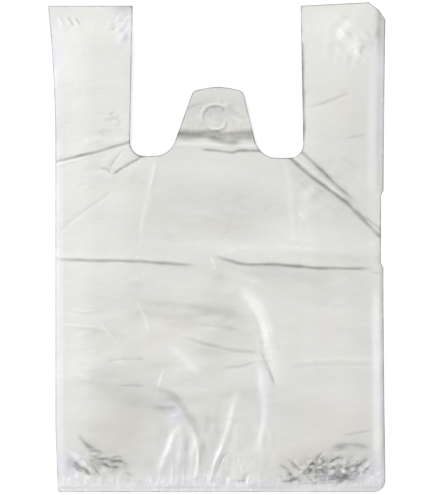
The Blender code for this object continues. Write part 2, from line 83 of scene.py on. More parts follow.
# Creases of the front film. Each has its rise in mm, the widths in mm of its flanks on the left and
# right of its route, its roundness from 0, a sharp crest, to 1, its tone from 1, painted shade along
# it, to -1, painted highlight along it, the width in mm of that tone, and its route.
CREASES = {
    "handle_base_left": (
        -0.9, 2.0, 2.0, 0.2, 0.9, 1.3,
        [(38, 167.5), (56, 162.5), (92, 153), (129, 143), (142, 139)],
    ),
    "mouth_left_pleat": (
        -0.8, 2.0, 1.8, 0.2, 0.8, 1.0,
        [(152, 150), (141, 157), (125, 167), (112, 175.5)],
    ),
    "mouth_left_hook": (-0.6, 1.6, 1.6, 0.2, 0.5, 0.9, [(112, 175), (108, 170), (100, 168)]),
    "left_side_faint": (-0.35, 3, 3, 0.6, 0.15, 1.5, [(57, 235), (80, 215), (100, 200), (112, 190)]),
    "half_fold_left": (
        0.9, 6.0, 2.0, 0.2, 0.74, 1.5,
        [(38, 257), (56, 258.5), (100, 260), (142, 261.5), (165, 262.5), (196, 265)],
    ),
    "half_fold_right": (
        0.9, 7.0, 2.0, 0.2, 0.72, 1.4,
        [(212, 255), (230, 260), (245, 264), (275, 264.5), (300, 266), (320, 267.5), (372, 269)],
    ),
    "half_fold_end": (-0.6, 1.8, 1.8, 0.2, 0.5, 0.9, [(370, 273), (395, 274.5)]),
    "mouth_right_pleat": (
        -1.0, 2.0, 2.2, 0.2, 0.85, 1.6,
        [(274, 145), (287, 155), (300, 167), (325, 187), (345, 202), (357, 214), (382, 237), (394, 249)],
    ),
    "mouth_right_ridge": (
        -0.8, 2.0, 2.0, 0.2, 0.8, 1.6,
        [(289, 142), (300, 151.5), (310, 160), (322, 171), (352, 199)],
    ),
    "right_side_fan_1": (-0.7, 1.6, 1.8, 0.2, 0.6, 1.0, [(365, 216), (376, 226), (390, 234)]),
    "right_side_fan_2": (-0.6, 1.6, 1.8, 0.2, 0.6, 1.1, [(369, 229), (378, 236), (392, 243)]),
    "long_ridge": (
        1.4, 8.0, 8.0, 0.6, -0.64, 5.2,
        [(230, 284), (242, 291), (254, 303), (265, 324), (271, 346), (277, 367), (284, 392)],
    ),
    "long_ridge_below": (
        0.9, 5.0, 5.0, 0.6, -0.8, 4.0,
        [(258, 354), (262, 372), (265, 400), (265, 422), (263, 440)],
    ),
    "middle_groove_1": (-0.6, 3.0, 3.4, 0.5, 0.3, 1.6, [(184, 338), (210, 345), (235, 351), (262, 354)]),
    "middle_groove_2": (-0.5, 2.6, 2.6, 0.5, 0.26, 1.6, [(222, 368), (240, 367), (258, 362)]),
    "valley_right": (-0.7, 2.6, 2.6, 0.4, 0.5, 1.3, [(261, 350), (266, 362), (271, 374), (276, 387)]),
    "left_groove_1": (-0.4, 2.0, 2.0, 0.4, 0.3, 1.0, [(108, 361), (125, 359.5), (147, 358)]),
    "left_groove_2": (-0.4, 2.0, 2.0, 0.4, 0.32, 1.1, [(116, 386), (130, 385.5), (147, 386.5)]),
    "belly_shadow": (-0.6, 3.0, 2.0, 0.4, 0.4, 2.6, [(153, 407), (165, 409), (180, 408.5)]),
    "belly_glint": (0.4, 2.0, 2.0, 0.4, -0.2, 2.0, [(170, 416), (182, 416)]),
    "gather_middle": (
        1.4, 5.5, 4.0, 0.4, -0.7, 4.4,
        [(238, 392), (232, 418), (226, 438), (218, 456), (212, 472)],
    ),
    "gather_middle_side": (-0.8, 1.8, 1.8, 0.2, 0.4, 1.2, [(229, 452), (222, 460), (217, 476)]),
    "gather_left": (1.3, 4.8, 4.4, 0.4, -0.95, 3.3, [(181, 424), (172, 441), (165, 458), (158, 477)]),
    "gather_left_side": (1.0, 3.4, 3.0, 0.3, -0.9, 2.5, [(190, 430), (197, 446), (198, 464), (194, 490)]),
    "gather_left_dark": (
        -0.8, 3.0, 3.0, 0.5, 0.35, 3.4,
        [(150, 386), (172, 396), (186, 412), (198, 432), (202, 450), (202, 480)],
    ),
    "gather_v_1": (0.6, 1.6, 1.6, 0.3, -0.9, 1.5, [(150, 478), (155, 491)]),
    "gather_v_2": (0.6, 1.6, 1.6, 0.3, -0.9, 1.5, [(160, 474), (156, 491)]),
    "gather_short_1": (0.6, 1.6, 1.6, 0.3, -0.9, 1.4, [(173, 462), (172, 476), (173, 490)]),
    "gather_short_2": (0.6, 1.6, 1.6, 0.3, -0.7, 1.3, [(183, 464), (184, 490)]),
    "gather_short_3": (0.6, 1.6, 1.6, 0.3, -0.85, 1.3, [(117, 477), (120, 490)]),
    "gather_short_4": (0.6, 1.6, 1.6, 0.3, -0.75, 1.4, [(86, 476), (86, 488)]),
    "gather_short_5": (0.6, 1.4, 1.4, 0.3, -0.8, 1.1, [(229, 477), (227, 490)]),
    "gather_short_6": (0.6, 1.4, 1.4, 0.3, -0.6, 1.1, [(250, 474), (246, 488)]),
    "left_crumple_1": (-1.0, 2.4, 2.4, 0.2, 0.5, 1.8, [(78, 434), (85, 443), (91, 448), (97, 449)]),
    "left_crumple_1b": (-0.7, 1.6, 1.6, 0.2, 0.6, 1.1, [(88, 452), (97, 451), (105, 454)]),
    "left_crumple_2": (
        -1.0, 1.8, 2.0, 0.2, 0.65, 1.5,
        [(95, 460), (105, 458.5), (111, 461), (124, 461.5)],
    ),
    "left_crumple_2b": (-0.8, 1.6, 1.8, 0.2, 0.8, 1.3, [(102, 464), (112, 467.5), (121, 467)]),
    "left_crumple_3": (-1.0, 2.0, 2.0, 0.2, 0.6, 1.3, [(72, 460), (82, 468), (95, 478)]),
    "left_crumple_3b": (0.9, 1.8, 1.8, 0.2, -0.3, 1.1, [(84, 464), (96, 475)]),
    "left_crumple_4": (-0.9, 1.8, 2.0, 0.2, 0.6, 1.2, [(90, 463), (97, 471), (103, 479)]),
    "left_crumple_5": (-0.8, 1.8, 1.8, 0.2, 0.4, 1.2, [(126, 472), (134, 478)]),
    "right_crumple_1": (-0.9, 3.0, 3.0, 0.3, 0.4, 3.2, [(330, 450), (346, 446), (360, 446), (372, 451)]),
    "right_crumple_2": (-1.0, 2.0, 2.2, 0.1, 0.6, 1.8, [(342, 471), (355, 466), (370, 459)]),
    "right_crumple_3": (-1.0, 2.0, 2.0, 0.1, 0.7, 1.3, [(291, 460), (296, 467), (303, 472)]),
    "right_crumple_4": (-0.9, 2.0, 2.0, 0.1, 0.6, 1.4, [(280, 465), (288, 470), (290, 478)]),
    "right_crumple_5": (-1.3, 2.2, 2.2, 0.1, 0.5, 1.2, [(324, 451), (317, 459), (320, 466), (331, 469)]),
    "right_crumple_6": (1.0, 2.0, 2.0, 0.1, -0.4, 1.2, [(294, 459), (299, 467)]),
    "right_crumple_7": (-0.9, 2.2, 2.2, 0.1, 0.22, 2.0, [(306, 481), (322, 477), (344, 476), (356, 484)]),
    "right_crumple_8": (1.0, 2.0, 2.0, 0.1, -0.5, 1.2, [(361, 472), (370, 463)]),
    "right_crumple_9": (-0.9, 2.0, 2.0, 0.1, 0.5, 1.4, [(303, 467), (311, 471), (322, 470), (343, 468)]),
    "right_crumple_10": (-1.0, 1.8, 1.8, 0.1, 0.7, 1.6, [(280, 481), (289, 482), (300, 478)]),
    "right_crumple_11": (-1.0, 1.8, 1.8, 0.1, 0.7, 1.2, [(330, 464), (335, 459), (341, 458)]),
    "tab_fold": (
        -0.8, 3.4, 3.4, 0.7, 0.8, 4.3,
        [(156, 135), (176, 134.5), (206, 134), (222, 136), (256, 135), (276, 136)],
    ),
    "tab_fold_bulge": (-0.5, 3.0, 3.0, 0.3, 0.66, 3.0, [(206, 136), (228, 143), (244, 140)]),
    "tab_fold_low": (
        -0.6, 1.8, 2.0, 0.3, 0.95, 1.3,
        [(200, 149.5), (212, 151), (232, 152.5), (242, 150.5), (278, 151)],
    ),
    "tab_band": (0.5, 2.5, 2.5, 0.5, -0.35, 2.0, [(160, 145), (200, 145.5), (252, 146.5), (270, 146)]),
    "ring_arc_top": (
        -0.3, 1.2, 1.2, 0.3, 0.7, 0.8,
        [(204, 122), (204.5, 114), (210, 108), (218, 107), (226, 111.5)],
    ),
    "ring_arc_bottom": (
        -0.3, 1.2, 1.2, 0.3, 0.75, 0.8,
        [(205, 125), (211, 130.5), (219, 131), (226, 127.5), (228.5, 119)],
    ),
    "ring_halo": (
        0.3, 1.4, 1.4, 0.3, -0.5, 1.0,
        [(201, 122), (201.5, 112), (208, 105), (218, 103.5), (228, 108)],
    ),
    "over_left_gusset": (
        0.35, 4.5, 4.5, 0.6, -0.14, 2.6,
        [(158, 150), (153, 175), (147, 205), (143, 225), (142, 246)],
    ),
    "left_handle_top": (-0.5, 1.8, 1.8, 0.3, 0.2, 1.0, [(60, 25), (75, 14)]),
    "left_handle_inner": (0.6, 1.8, 1.8, 0.3, -0.2, 1.0, [(121, 38), (130, 28)]),
    "right_handle_top_1": (
        0.8, 3.4, 3.4, 0.3, -0.34, 2.0,
        [(336, 25), (346, 37), (355, 47), (363, 58), (370, 70)],
    ),
    "right_handle_top_2": (0.5, 2.6, 2.6, 0.3, -0.35, 2.0, [(352, 24), (361, 33), (371, 43)]),
    "right_handle_top_3": (0.5, 2.4, 2.4, 0.3, -0.3, 1.6, [(334, 30), (341, 38), (347, 46)]),
    "right_handle_low_1": (-0.4, 2.0, 2.0, 0.4, 0.35, 1.1, [(308, 108.5), (330, 101), (352, 93)]),
    "right_handle_low_2": (-0.4, 2.0, 2.0, 0.5, 0.2, 1.2, [(345, 139), (368, 135)]),
    "handle_base_light": (
        0.4, 1.6, 1.6, 0.3, -0.45, 1.0,
        [(44, 168), (58, 164.5), (72, 161), (92, 155.5)],
    ),
    "mouth_left_inner": (-0.5, 1.4, 1.4, 0.2, 0.25, 0.8, [(124, 150), (117, 158), (110, 168)]),
    "mouth_right_light": (
        0.6, 2.0, 2.0, 0.4, -0.45, 1.1,
        [(288, 151), (308, 168), (326, 184), (348, 201)],
    ),
    "mouth_right_end": (-0.7, 1.6, 1.8, 0.2, 0.6, 1.2, [(354, 209), (360, 214), (368, 222)]),
    "long_ridge_edge": (-0.6, 3.0, 3.0, 0.4, 0.3, 1.5, [(250, 306), (257, 322), (262, 340), (263, 352)]),
    "gather_middle_low": (1.0, 3.0, 3.0, 0.3, -0.8, 2.0, [(222, 448), (215, 462), (211, 480), (209, 489)]),
    "gather_between": (0.6, 4.0, 4.0, 0.5, -0.25, 4.0, [(180, 420), (182, 445), (180, 470)]),
    "half_fold_thick": (-0.4, 3.0, 3.0, 0.4, 0.25, 2.6, [(236, 263), (262, 266), (300, 268), (335, 269)]),
    "half_fold_glow": (
        0.3, 5.0, 5.0, 0.5, -0.08, 4.4,
        [(186, 245), (230, 248), (290, 250), (340, 253), (384, 258)],
    ),
    "half_fold_gap": (0.5, 2.0, 2.0, 0.3, -0.4, 1.3, [(211, 256), (214, 263), (217, 271)]),
    "chest_glint": (0.4, 1.8, 1.8, 0.4, -0.35, 1.3, [(296, 207), (302, 215), (308, 223)]),
    "long_ridge_top": (0.5, 5.0, 5.0, 0.5, -0.35, 4.2, [(222, 272), (238, 278), (256, 283), (266, 288)]),
    "waist_groove": (-0.6, 5.0, 5.0, 0.7, 0.19, 3.6, [(138, 304), (165, 306), (200, 309), (240, 320)]),
    "waist_groove_low": (-0.4, 3.0, 3.0, 0.6, 0.18, 2.2, [(196, 324), (222, 328), (246, 333)]),
    "middle_glint": (0.8, 6.0, 6.0, 0.6, -0.55, 3.8, [(170, 347), (182, 356), (194, 368), (203, 378)]),
    "waist_glint_1": (0.5, 1.8, 1.8, 0.3, -0.5, 1.1, [(136, 300), (143, 314), (148, 326), (150, 336)]),
    "waist_glint_2": (0.4, 1.6, 1.6, 0.3, -0.45, 1.0, [(99, 325), (106, 331), (113, 338)]),
    "waist_glint_3": (0.4, 1.8, 1.8, 0.3, -0.28, 1.2, [(70, 309), (82, 312), (96, 310)]),
    "waist_glint_4": (0.5, 1.8, 1.8, 0.3, -0.5, 1.2, [(164, 371), (161, 380), (158, 390)]),
    "waist_glint_5": (0.4, 1.8, 1.8, 0.3, -0.2, 1.2, [(60, 325), (85, 327), (100, 326)]),
    "tab_fold_dark": (-0.5, 2.4, 2.4, 0.3, 0.3, 2.0, [(164, 134), (186, 135), (210, 136)]),
    "ring_inner": (0.2, 1.2, 1.2, 0.3, -0.6, 0.9, [(207, 126), (213, 129), (221, 128), (225.5, 121)]),
    "tab_scratch_1": (0.2, 1.2, 1.2, 0.3, -0.35, 0.9, [(230, 116), (240, 121), (246, 123)]),
    "tab_scratch_2": (-0.2, 1.2, 1.2, 0.3, 0.3, 0.9, [(186, 112), (193, 106), (204, 103)]),
    "left_handle_weld": (0.2, 2.0, 2.0, 0.3, 0.22, 1.4, [(100, 9), (118, 8.5), (134, 8.5)]),
    "long_ridge_wide": (0.7, 6.0, 6.0, 0.5, -0.42, 5.4, [(238, 292), (256, 306), (267, 326), (269, 342)]),
    "over_left_gusset_fine": (0.3, 1.8, 1.8, 0.3, -0.3, 1.1, [(157, 160), (153, 178), (150, 190)]),
    "right_crumple_1b": (-0.5, 2.4, 2.4, 0.3, 0.22, 2.2, [(340, 436), (355, 434), (372, 431)]),
    "left_corner_pale": (0.6, 3.0, 3.0, 0.4, -0.4, 2.2, [(66, 449), (78, 459), (88, 468), (96, 477)]),
    "bottom_middle_eye": (-0.5, 1.4, 1.4, 0.2, 0.6, 1.2, [(234, 480.5), (241, 481.5), (248, 480)]),
    "right_mid_light": (0.4, 3.0, 3.0, 0.5, -0.15, 2.0, [(296, 362), (320, 360), (350, 360), (376, 361)]),
    "right_mid_groove": (-0.3, 2.4, 2.4, 0.4, 0.14, 1.6, [(292, 368), (330, 365), (376, 366)]),
    "chest_edge_right": (0.3, 4.5, 4.5, 0.6, -0.16, 2.6, [(284, 158), (290, 185), (293, 215), (296, 250)]),
    "hatch_1": (0.4, 1.3, 1.3, 0.2, -0.83, 0.9, [(56.5, 17), (60, 22), (62, 27)]),
    "hatch_2": (-0.3, 1.3, 1.3, 0.2, 0.6, 0.8, [(60, 17), (64, 22), (66, 27)]),
    "hatch_3": (0.4, 1.3, 1.3, 0.2, -0.75, 0.9, [(64, 17), (68, 22), (70.5, 27)]),
    "hatch_4": (-0.3, 1.3, 1.3, 0.2, 0.57, 0.8, [(67.5, 17), (71.5, 22), (74, 27)]),
    "hatch_5": (0.4, 1.3, 1.3, 0.2, -0.6, 0.9, [(72, 17), (75, 22), (77, 26)]),
    "hatch_6": (-0.3, 1.3, 1.3, 0.2, 0.48, 0.8, [(75, 17.5), (78.5, 22), (81, 26)]),
    "right_mouth_edge": (
        0.0, 1.8, 1.8, 0.2, 0.85, 1.2,
        [(302.8, 40), (303.4, 70), (303.7, 100), (303.7, 128), (302.6, 143)],
    ),
    "left_mouth_edge": (
        0.0, 1.6, 1.6, 0.2, 0.9, 1.1,
        [(130, 142), (133, 149.5), (139, 155.5), (147, 158.5)],
    ),
}

# Crumpled patches of the front film: centre and radii in pixels, facet size and rise in mm, and how
# densely fine lines of painted shade, grooved in the bump too, cover them
CRUMPLES = {
    "left_corner": ((97, 466), (40, 24), 9.0, 0.5, 0.6),
    "right_corner": ((336, 470), (54, 22), 8.0, 0.6, 1.0),
    "bottom_middle": ((220, 480), (60, 14), 9.0, 0.35, 0.35),
    "right_handle_top": ((348, 42), (34, 34), 9.0, 0.4, 0.12),
    "left_handle_top": ((72, 22), (26, 14), 8.0, 0.2, 0.1),
    "left_handle_inner": ((122, 30), (16, 22), 7.0, 0.3, 0.1),
    "mouth_left": ((112, 168), (40, 20), 12.0, 0.25, 0.0),
    "mouth_right": ((330, 195), (56, 44), 14.0, 0.25, 0.0),
    "ridge_top": ((230, 280), (34, 22), 16.0, 0.3, 0.0),
    "waist": ((200, 350), (100, 60), 26.0, 0.3, 0.0),
}

# Patches of short creases strewn at random: centre and radii in pixels, how many, shortest and
# longest in mm, width in mm, mean angle and spread in degrees from +X, anticlockwise, rise in mm, and
# tone from 1, painted shade, to -1, painted highlight
WRINKLES = {
    "right_corner_core": ((335, 470), (37, 8), 70, (3, 10), 1.3, (12, 45), -0.35, 0.42),
    "right_corner_low": ((318, 481), (34, 5), 30, (4, 10), 1.2, (0, 40), -0.3, 0.36),
    "right_corner_spikes": ((312, 465), (28, 8), 26, (4, 8), 1.1, (-52, 20), -0.35, 0.4),
    "right_corner_rays": ((338, 462), (22, 6), 14, (3, 8), 1.1, (45, 30), -0.35, 0.4),
    "right_corner_top": ((350, 447), (17, 5), 8, (8, 18), 2.6, (0, 12), -0.3, 0.18),
    "right_corner_light": ((374, 478), (9, 10), 30, (3, 8), 1.3, (35, 50), 0.35, -0.4),
    "right_corner_glints": ((335, 470), (42, 11), 60, (3, 8), 1.1, (20, 55), 0.4, -0.5),
    "right_corner_dusk": ((330, 478), (30, 4), 16, (8, 20), 2.4, (0, 8), -0.2, 0.17),
    "left_corner_dark": ((102, 462), (22, 8), 16, (4, 10), 1.3, (-15, 40), -0.3, 0.42),
    "left_corner_slant": ((87, 470), (13, 8), 16, (6, 13), 1.5, (-42, 10), -0.3, 0.36),
    "left_corner_glints": ((92, 467), (22, 12), 22, (5, 12), 1.5, (-42, 25), 0.35, -0.45),
    "left_corner_light": ((70, 481), (13, 8), 26, (3, 8), 1.3, (55, 30), 0.35, -0.45),
    "bottom_gathers": ((165, 483), (108, 6), 34, (4, 10), 2.0, (90, 14), 0.35, -0.5),
    "bottom_gather_shade": ((190, 479), (95, 8), 26, (5, 14), 2.2, (90, 14), -0.25, 0.18),
    "bottom_fan_light": ((215, 452), (62, 28), 30, (16, 44), 3.4, (84, 10), 0.35, -0.26),
    "bottom_fan_shade": ((215, 446), (62, 30), 26, (16, 44), 3.6, (84, 10), -0.35, 0.16),
    "bottom_left_shade": ((140, 470), (50, 12), 14, (8, 20), 3.0, (80, 20), -0.25, 0.12),
    "right_handle_top": ((350, 44), (10, 24), 22, (5, 14), 2.4, (-48, 14), 0.3, -0.3),
    "right_handle_shade": ((350, 36), (20, 20), 14, (4, 12), 1.8, (-48, 22), -0.25, 0.2),
    "right_handle_edge": ((376, 28), (6, 22), 12, (5, 10), 2.0, (-60, 20), -0.25, 0.2),
    "right_handle_mottle": ((318, 40), (16, 26), 18, (5, 12), 2.4, (85, 20), 0.2, -0.15),
    "left_handle_hatch": ((69, 22), (13, 3), 11, (6, 9), 1.6, (-45, 10), 0.2, -0.12),
    "left_handle_hatch_dark": ((71, 22), (13, 3), 10, (6, 9), 1.5, (-45, 10), -0.2, 0.1),
    "left_handle_band": ((95, 26), (26, 7), 24, (3, 9), 1.8, (70, 30), 0.2, -0.18),
    "left_handle_inner": ((122, 28), (9, 17), 30, (5, 10), 1.6, (40, 50), 0.3, -0.34),
    "left_handle_inner_dark": ((121, 28), (9, 16), 18, (5, 9), 1.5, (40, 50), -0.3, 0.36),
    "left_handle_wrinkles": ((114, 119), (12, 8), 20, (4, 9), 1.4, (12, 50), -0.3, 0.2),
    "left_handle_ridges": ((110, 136), (18, 5), 7, (10, 26), 2.0, (14, 5), -0.3, 0.2),
    "left_handle_glints": ((108, 139), (18, 4), 6, (10, 26), 2.0, (14, 5), 0.3, -0.2),
    "handle_left_fine": ((93, 110), (36, 60), 16, (14, 40), 3.0, (6, 8), -0.15, 0.05),
    "handle_right_fine": ((335, 110), (34, 70), 16, (12, 36), 3.0, (12, 14), -0.15, 0.05),
    "mouth_left_fine": ((95, 160), (40, 26), 18, (8, 24), 2.0, (18, 16), -0.2, 0.1),
    "mouth_right_fine": ((335, 190), (40, 30), 12, (10, 34), 2.4, (-38, 8), -0.25, 0.12),
    "body_fine": ((215, 340), (150, 90), 44, (18, 60), 4.4, (-2, 10), -0.3, 0.1),
    "body_fine_light": ((225, 330), (150, 90), 30, (16, 50), 4.4, (0, 14), 0.35, -0.12),
    "body_bands": ((200, 330), (80, 50), 10, (50, 90), 7.0, (-6, 6), -0.5, 0.12),
    "belly_bands": ((130, 400), (60, 30), 8, (40, 70), 7.0, (-6, 10), -0.4, 0.12),
    "left_side_fine": ((100, 330), (44, 60), 22, (8, 20), 2.4, (-30, 40), 0.2, -0.1),
    "chest_fine": ((215, 200), (130, 45), 22, (14, 44), 4.0, (0, 60), -0.2, 0.05),
    "chest_fine_light": ((240, 225), (120, 25), 16, (20, 50), 4.0, (-6, 12), 0.2, -0.07),
    "tab_mottle": ((217, 118), (34, 20), 22, (4, 12), 1.8, (20, 80), 0.2, -0.2),
    "tab_mottle_dark": ((217, 116), (34, 20), 16, (4, 12), 1.8, (20, 80), -0.2, 0.16),
    "fold_fine": ((290, 247), (88, 7), 20, (8, 34), 3.0, (-3, 8), 0.3, -0.2),
    "right_corner_spread": ((300, 473), (22, 12), 26, (3, 8), 1.2, (-40, 50), -0.3, 0.42),
    "right_corner_blue": ((335, 476), (22, 5), 22, (5, 12), 1.6, (5, 20), -0.3, 0.2),
    "bottom_middle_fine": ((243, 471), (18, 16), 20, (6, 16), 1.8, (88, 14), 0.3, -0.4),
    "bottom_middle_fine_dark": ((243, 473), (18, 14), 14, (5, 12), 1.5, (88, 16), -0.3, 0.28),
}

# Broad soft spots of painted light and shade: centre and radii in pixels, angle in degrees, and tone
# from 1, painted shade, to -1, painted highlight
PAINTED_LIGHT_SPOTS = {
    "left_side_light": ((66, 300), (26, 240), 0, -0.14),
    "left_handle_light": ((95, 60), (60, 100), 0, -0.06),
    "right_handle_light": ((330, 45), (40, 50), 0, -0.26),
    "right_handle_corner": ((379, 26), (8, 28), 0, 0.38),
    "tab_shade": ((217, 108), (46, 30), 0, 0.27),
    "chest_shade": ((215, 212), (84, 36), 0, 0.17),
    "right_light": ((310, 246), (84, 11), -2, -0.2),
    "fold_shade_right": ((290, 277), (62, 9), -2, 0.2),
    "pleat_shade": ((328, 190), (62, 15), -37, 0.20),
    "waist_shade": ((196, 318), (52, 20), -6, 0.1),
    "waist_shade_low": ((225, 346), (42, 8), -8, 0.07),
    "ridge_light": ((262, 320), (52, 12), -66, -0.25),
    "belly_shade": ((130, 396), (52, 20), -6, 0.14),
    "belly_shade_low": ((128, 430), (50, 36), 0, 0.11),
    "left_corner_shade": ((100, 460), (40, 24), -20, 0.18),
    "right_corner_shade": ((330, 468), (56, 20), 4, 0.2),
    "right_low_shade": ((340, 446), (60, 18), 0, 0.04),
    "middle_light": ((180, 355), (24, 14), -40, -0.18),
    "bottom_light": ((180, 480), (120, 16), 0, -0.26),
    "right_side_light": ((380, 380), (18, 110), 0, -0.08),
    "left_handle_edge": ((57, 56), (10, 44), 0, -0.22),
    "left_handle_corner": ((124, 10), (12, 5), 0, 0.24),
    "left_blob": ((101, 460.5), (7, 4), -6, 0.35),
    "left_blob_tail": ((116, 461.5), (9, 2.4), -2, 0.2),
    "left_blob_small": ((89, 446), (7, 4), -35, 0.4),
    "left_corner_blue": ((71, 462), (8, 12), -30, 0.34),
    "right_core_shade": ((334, 477), (26, 5), 0, 0.05),
    "right_mid_light": ((330, 342), (48, 66), 0, -0.2),
    "right_handle_glow": ((353, 44), (30, 11), -50, -0.2),
    "low_right_light": ((335, 408), (44, 22), 0, -0.1),
    "right_handle_mid": ((340, 105), (24, 36), 0, 0.02),
    "waist_left": ((95, 335), (50, 60), 0, 0.06),
}

# Painted highlights beside the left and the right side fold: heights in pixels, and how bright they
# are there. The right one also sets the painted shade just inside the front's right fold
LEFT_FOLD_HIGHLIGHT = [(0, 0.05), (140, 0.1), (165, 0.3), (300, 0.5), (440, 0.55), (468, 0.4), (488, 0.1)]
RIGHT_FOLD_HIGHLIGHT = [(2, 0.1), (60, 0.3), (180, 0.4), (196, 0.1), (284, 0.1), (304, 0.95), (446, 0.9), (478, 0)]

# Broad soft tints: centre and radii in pixels, angle in degrees, tint from 1, warm, to -1, cool. The
# cool tints by the folds, the bottom, the ridge, the glints and the gathered film give the painted
# highlights there a cool cast
TINTS = {
    "belly": ((125, 430), (50, 36), 0, 0.5),
    "lower_right": ((335, 418), (50, 26), 4, 0.7),
    "lower_right_low": ((300, 462), (40, 18), 0, 0.5),
    "middle_low": ((205, 430), (16, 40), 0, 0.5),
    "waist": ((180, 335), (90, 50), 0, 0.3),
    "chest": ((225, 228), (36, 16), 0, 0.4),
    "tab": ((217, 135), (36, 12), 0, 0.4),
    "left_strip": ((60, 270), (8, 330), 0, -0.38),
    "right_strip": ((379, 390), (8, 110), 0, -0.7),
    "right_handle_strip": ((379, 100), (7, 100), 0, -1.0),
    "left_corner": ((70, 466), (18, 18), 0, -1.4),
    "right_corner": ((372, 474), (20, 18), 0, -0.9),
    "bottom": ((215, 485), (160, 8), 0, -0.8),
    "belly_glint": ((174, 412), (14, 14), 0, -0.8),
    "long_ridge": ((264, 400), (8, 44), 0, -0.7),
    "handle_inner": ((124, 30), (12, 30), 0, -0.9),
    "left_handle_edge": ((57, 56), (10, 44), 0, -0.6),
    "middle_glint": ((188, 362), (16, 14), -40, -0.4),
    "right_core": ((334, 476), (26, 7), 0, -1.6),
    "right_mid": ((330, 330), (50, 60), 0, 0.2),
    "right_handle_mid": ((340, 105), (20, 32), 0, 0.45),
    "gather_highlights": ((180, 458), (34, 36), 0, -0.45),
    "gather_middle": ((218, 450), (12, 34), -20, -0.35),
}

# The films and the air between them, from below: space n lies between heights n and n + 1
BACK_PANEL, BACK_GAP, LOWER_GUSSET, MIDDLE_GAP, UPPER_GUSSET, FRONT_GAP, FRONT_PANEL = range(7)
SPACES = 7
LEVELS = SPACES + 1

# Shares of a roll's reach at which the plan has lines, and the grid on which corners are joined
ROLL_SHARES = (0.0, 0.25, 0.6, 1.0)
JOIN = 0.0000005

# Steps in mm of a crease's smooth route, and of a short route of up to three points
ROUTE_STEP, SHORT_STEP = 2, 4

# Sway of a crease to its sides: mm a radian and amount in mm of two waves, and the length in mm from
# which a crease sways fully
SWAYS = ((4.3, 0.15), (12, 0.4))
SWAY_LENGTH = 60

# Unevenness of a crease's tone along it: mm a radian of two waves, and how much of the tone's width
# and strength it changes
SWELLS = (6.1, 15)
SWELL_WIDTH, SWELL_STRENGTH = 0.18, 0.15

# How many tone widths out a crease counts, where on a soft slope from 0 to 1 its ends start, and the
# length of that slope: the crease's length by END_PARTS, or END_REACHES reaches if that is less
TONE_REACH = 2.4
END_START, END_PARTS, END_REACHES = 0.15, 3, 3

# Creases strewn at random: their roundness, and the width of their tone as a share of a flank's
STREWN_ROUNDNESS, STREWN_TONE = 0.2, 0.7

# How quickly soft spots and crumpled patches fall off towards their edges
SPOT_FALL, PATCH_FALL = 1.6, 1.6

# Slack waves of the front film: pitch in metres, scale of x, and share of the slack
BROAD_WAVES, FLAT_WAVES = (0.085, 1.0, 1.0), (0.040, 0.35, 0.5)

# The step of the front's plan: its growth with the distance from a crease, the steps across a
# crumpled facet, and the share of a patch from which its facets count
STEP_GROWTH, FACET_STEPS, FACET_SHARE = 1.2, 3, 0.1

# Points of the plans: the step along a crest in fine steps, how many times finer than wanted a
# lattice point may be, and the share of a step by which lattice points keep clear of lines
CREST_STEP, LATTICE_SLACK, CLEARANCE = 1.5, 1.5, 0.5

# Grain of the finish's noises, finer for higher numbers, along x, y and z where it is stretched
STREAKS, SPIKES, CLOUDS, HATCHING = (110, 330, 300), (190, 330, 300), (11, 30, 20), (240, 50, 50)
MOTTLE, PATCHES, RIM_DOTS, DRIFT = 170, 150, 55, 14

# Bands of the finish, in mm from a side fold or from the bottom: start, end and soft edge. The left
# and right bands hold painted highlights, the outer band painted shade inside the front's right fold,
# the weld band a pale band, and the gather band painted highlights on the gathered film
LEFT_HIGHLIGHT_BAND, RIGHT_HIGHLIGHT_BAND, OUTER_SHADE_BAND = (2.4, 4.8, 4.6), (5.6, 7.0, 5.4), (0.0, 2.0, 2.2)
WELD_BAND, GATHER_HIGHLIGHT_BAND = (1.2, 6.0, 1.6), (0.6, 11, 6)


def length(name, default, about):
    """A size in metres that a user may change."""
    return FloatProperty(name=name, description=about, default=default, unit="LENGTH", precision=5)


def number(name, default, about):
    """A plain number that a user may change."""
    return FloatProperty(name=name, description=about, default=default, precision=4)


def colour(name, default, about):
    """A colour that a user may change."""
    return FloatVectorProperty(
        name=name, description=about, default=default, size=4, min=0, max=1, subtype="COLOR",
    )


class BodySizes(bpy.types.PropertyGroup):
    """Sizes of the body, its folds and its welds."""

    width: length("Width", 0.300, "Width of the body across the side folds")
    mouth_height: length("Mouth Height", 0.3045, "Height of the mouth's floor")
    gusset_depth: length("Gusset Depth", 0.079, "How far each side gusset folds in")
    bottom_weld: length("Bottom Weld", 0.003, "Width of the weld across the bottom")
    fold_width: length("Fold Width", 0.0003, "Width of the strip where two films join in a fold")
    right_corner: length("Right Corner", 0.011, "Radius of the lower right corner")
    left_corner: length("Left Corner", 0.002, "Radius of the lower left corner")
    tuck: length("Bottom Tuck", 0.0023, "How far the left side tucks in at the bottom")
    tuck_height: length("Tuck Height", 0.060, "Height over which the left side tucks in")
    waist: length("Waist", 0.0020, "How far the right side bows in")
    nick: length("Nick", 0.0022, "How far the right side steps in beside the fold fan")
    nick_low: length("Nick Low", 0.204, "Height of the lower end of that step")
    nick_high: length("Nick High", 0.274, "Height of the upper end of that step")
    nick_slope: length("Nick Slope", 0.004, "Height over which the side steps in")
    front_inset: length("Front Inset", 0.0005, "How far the front's right fold lies inside the back's")
    handle_fan: length("Handle Fan", 0.0040, "How much further it lies inside along the handle")


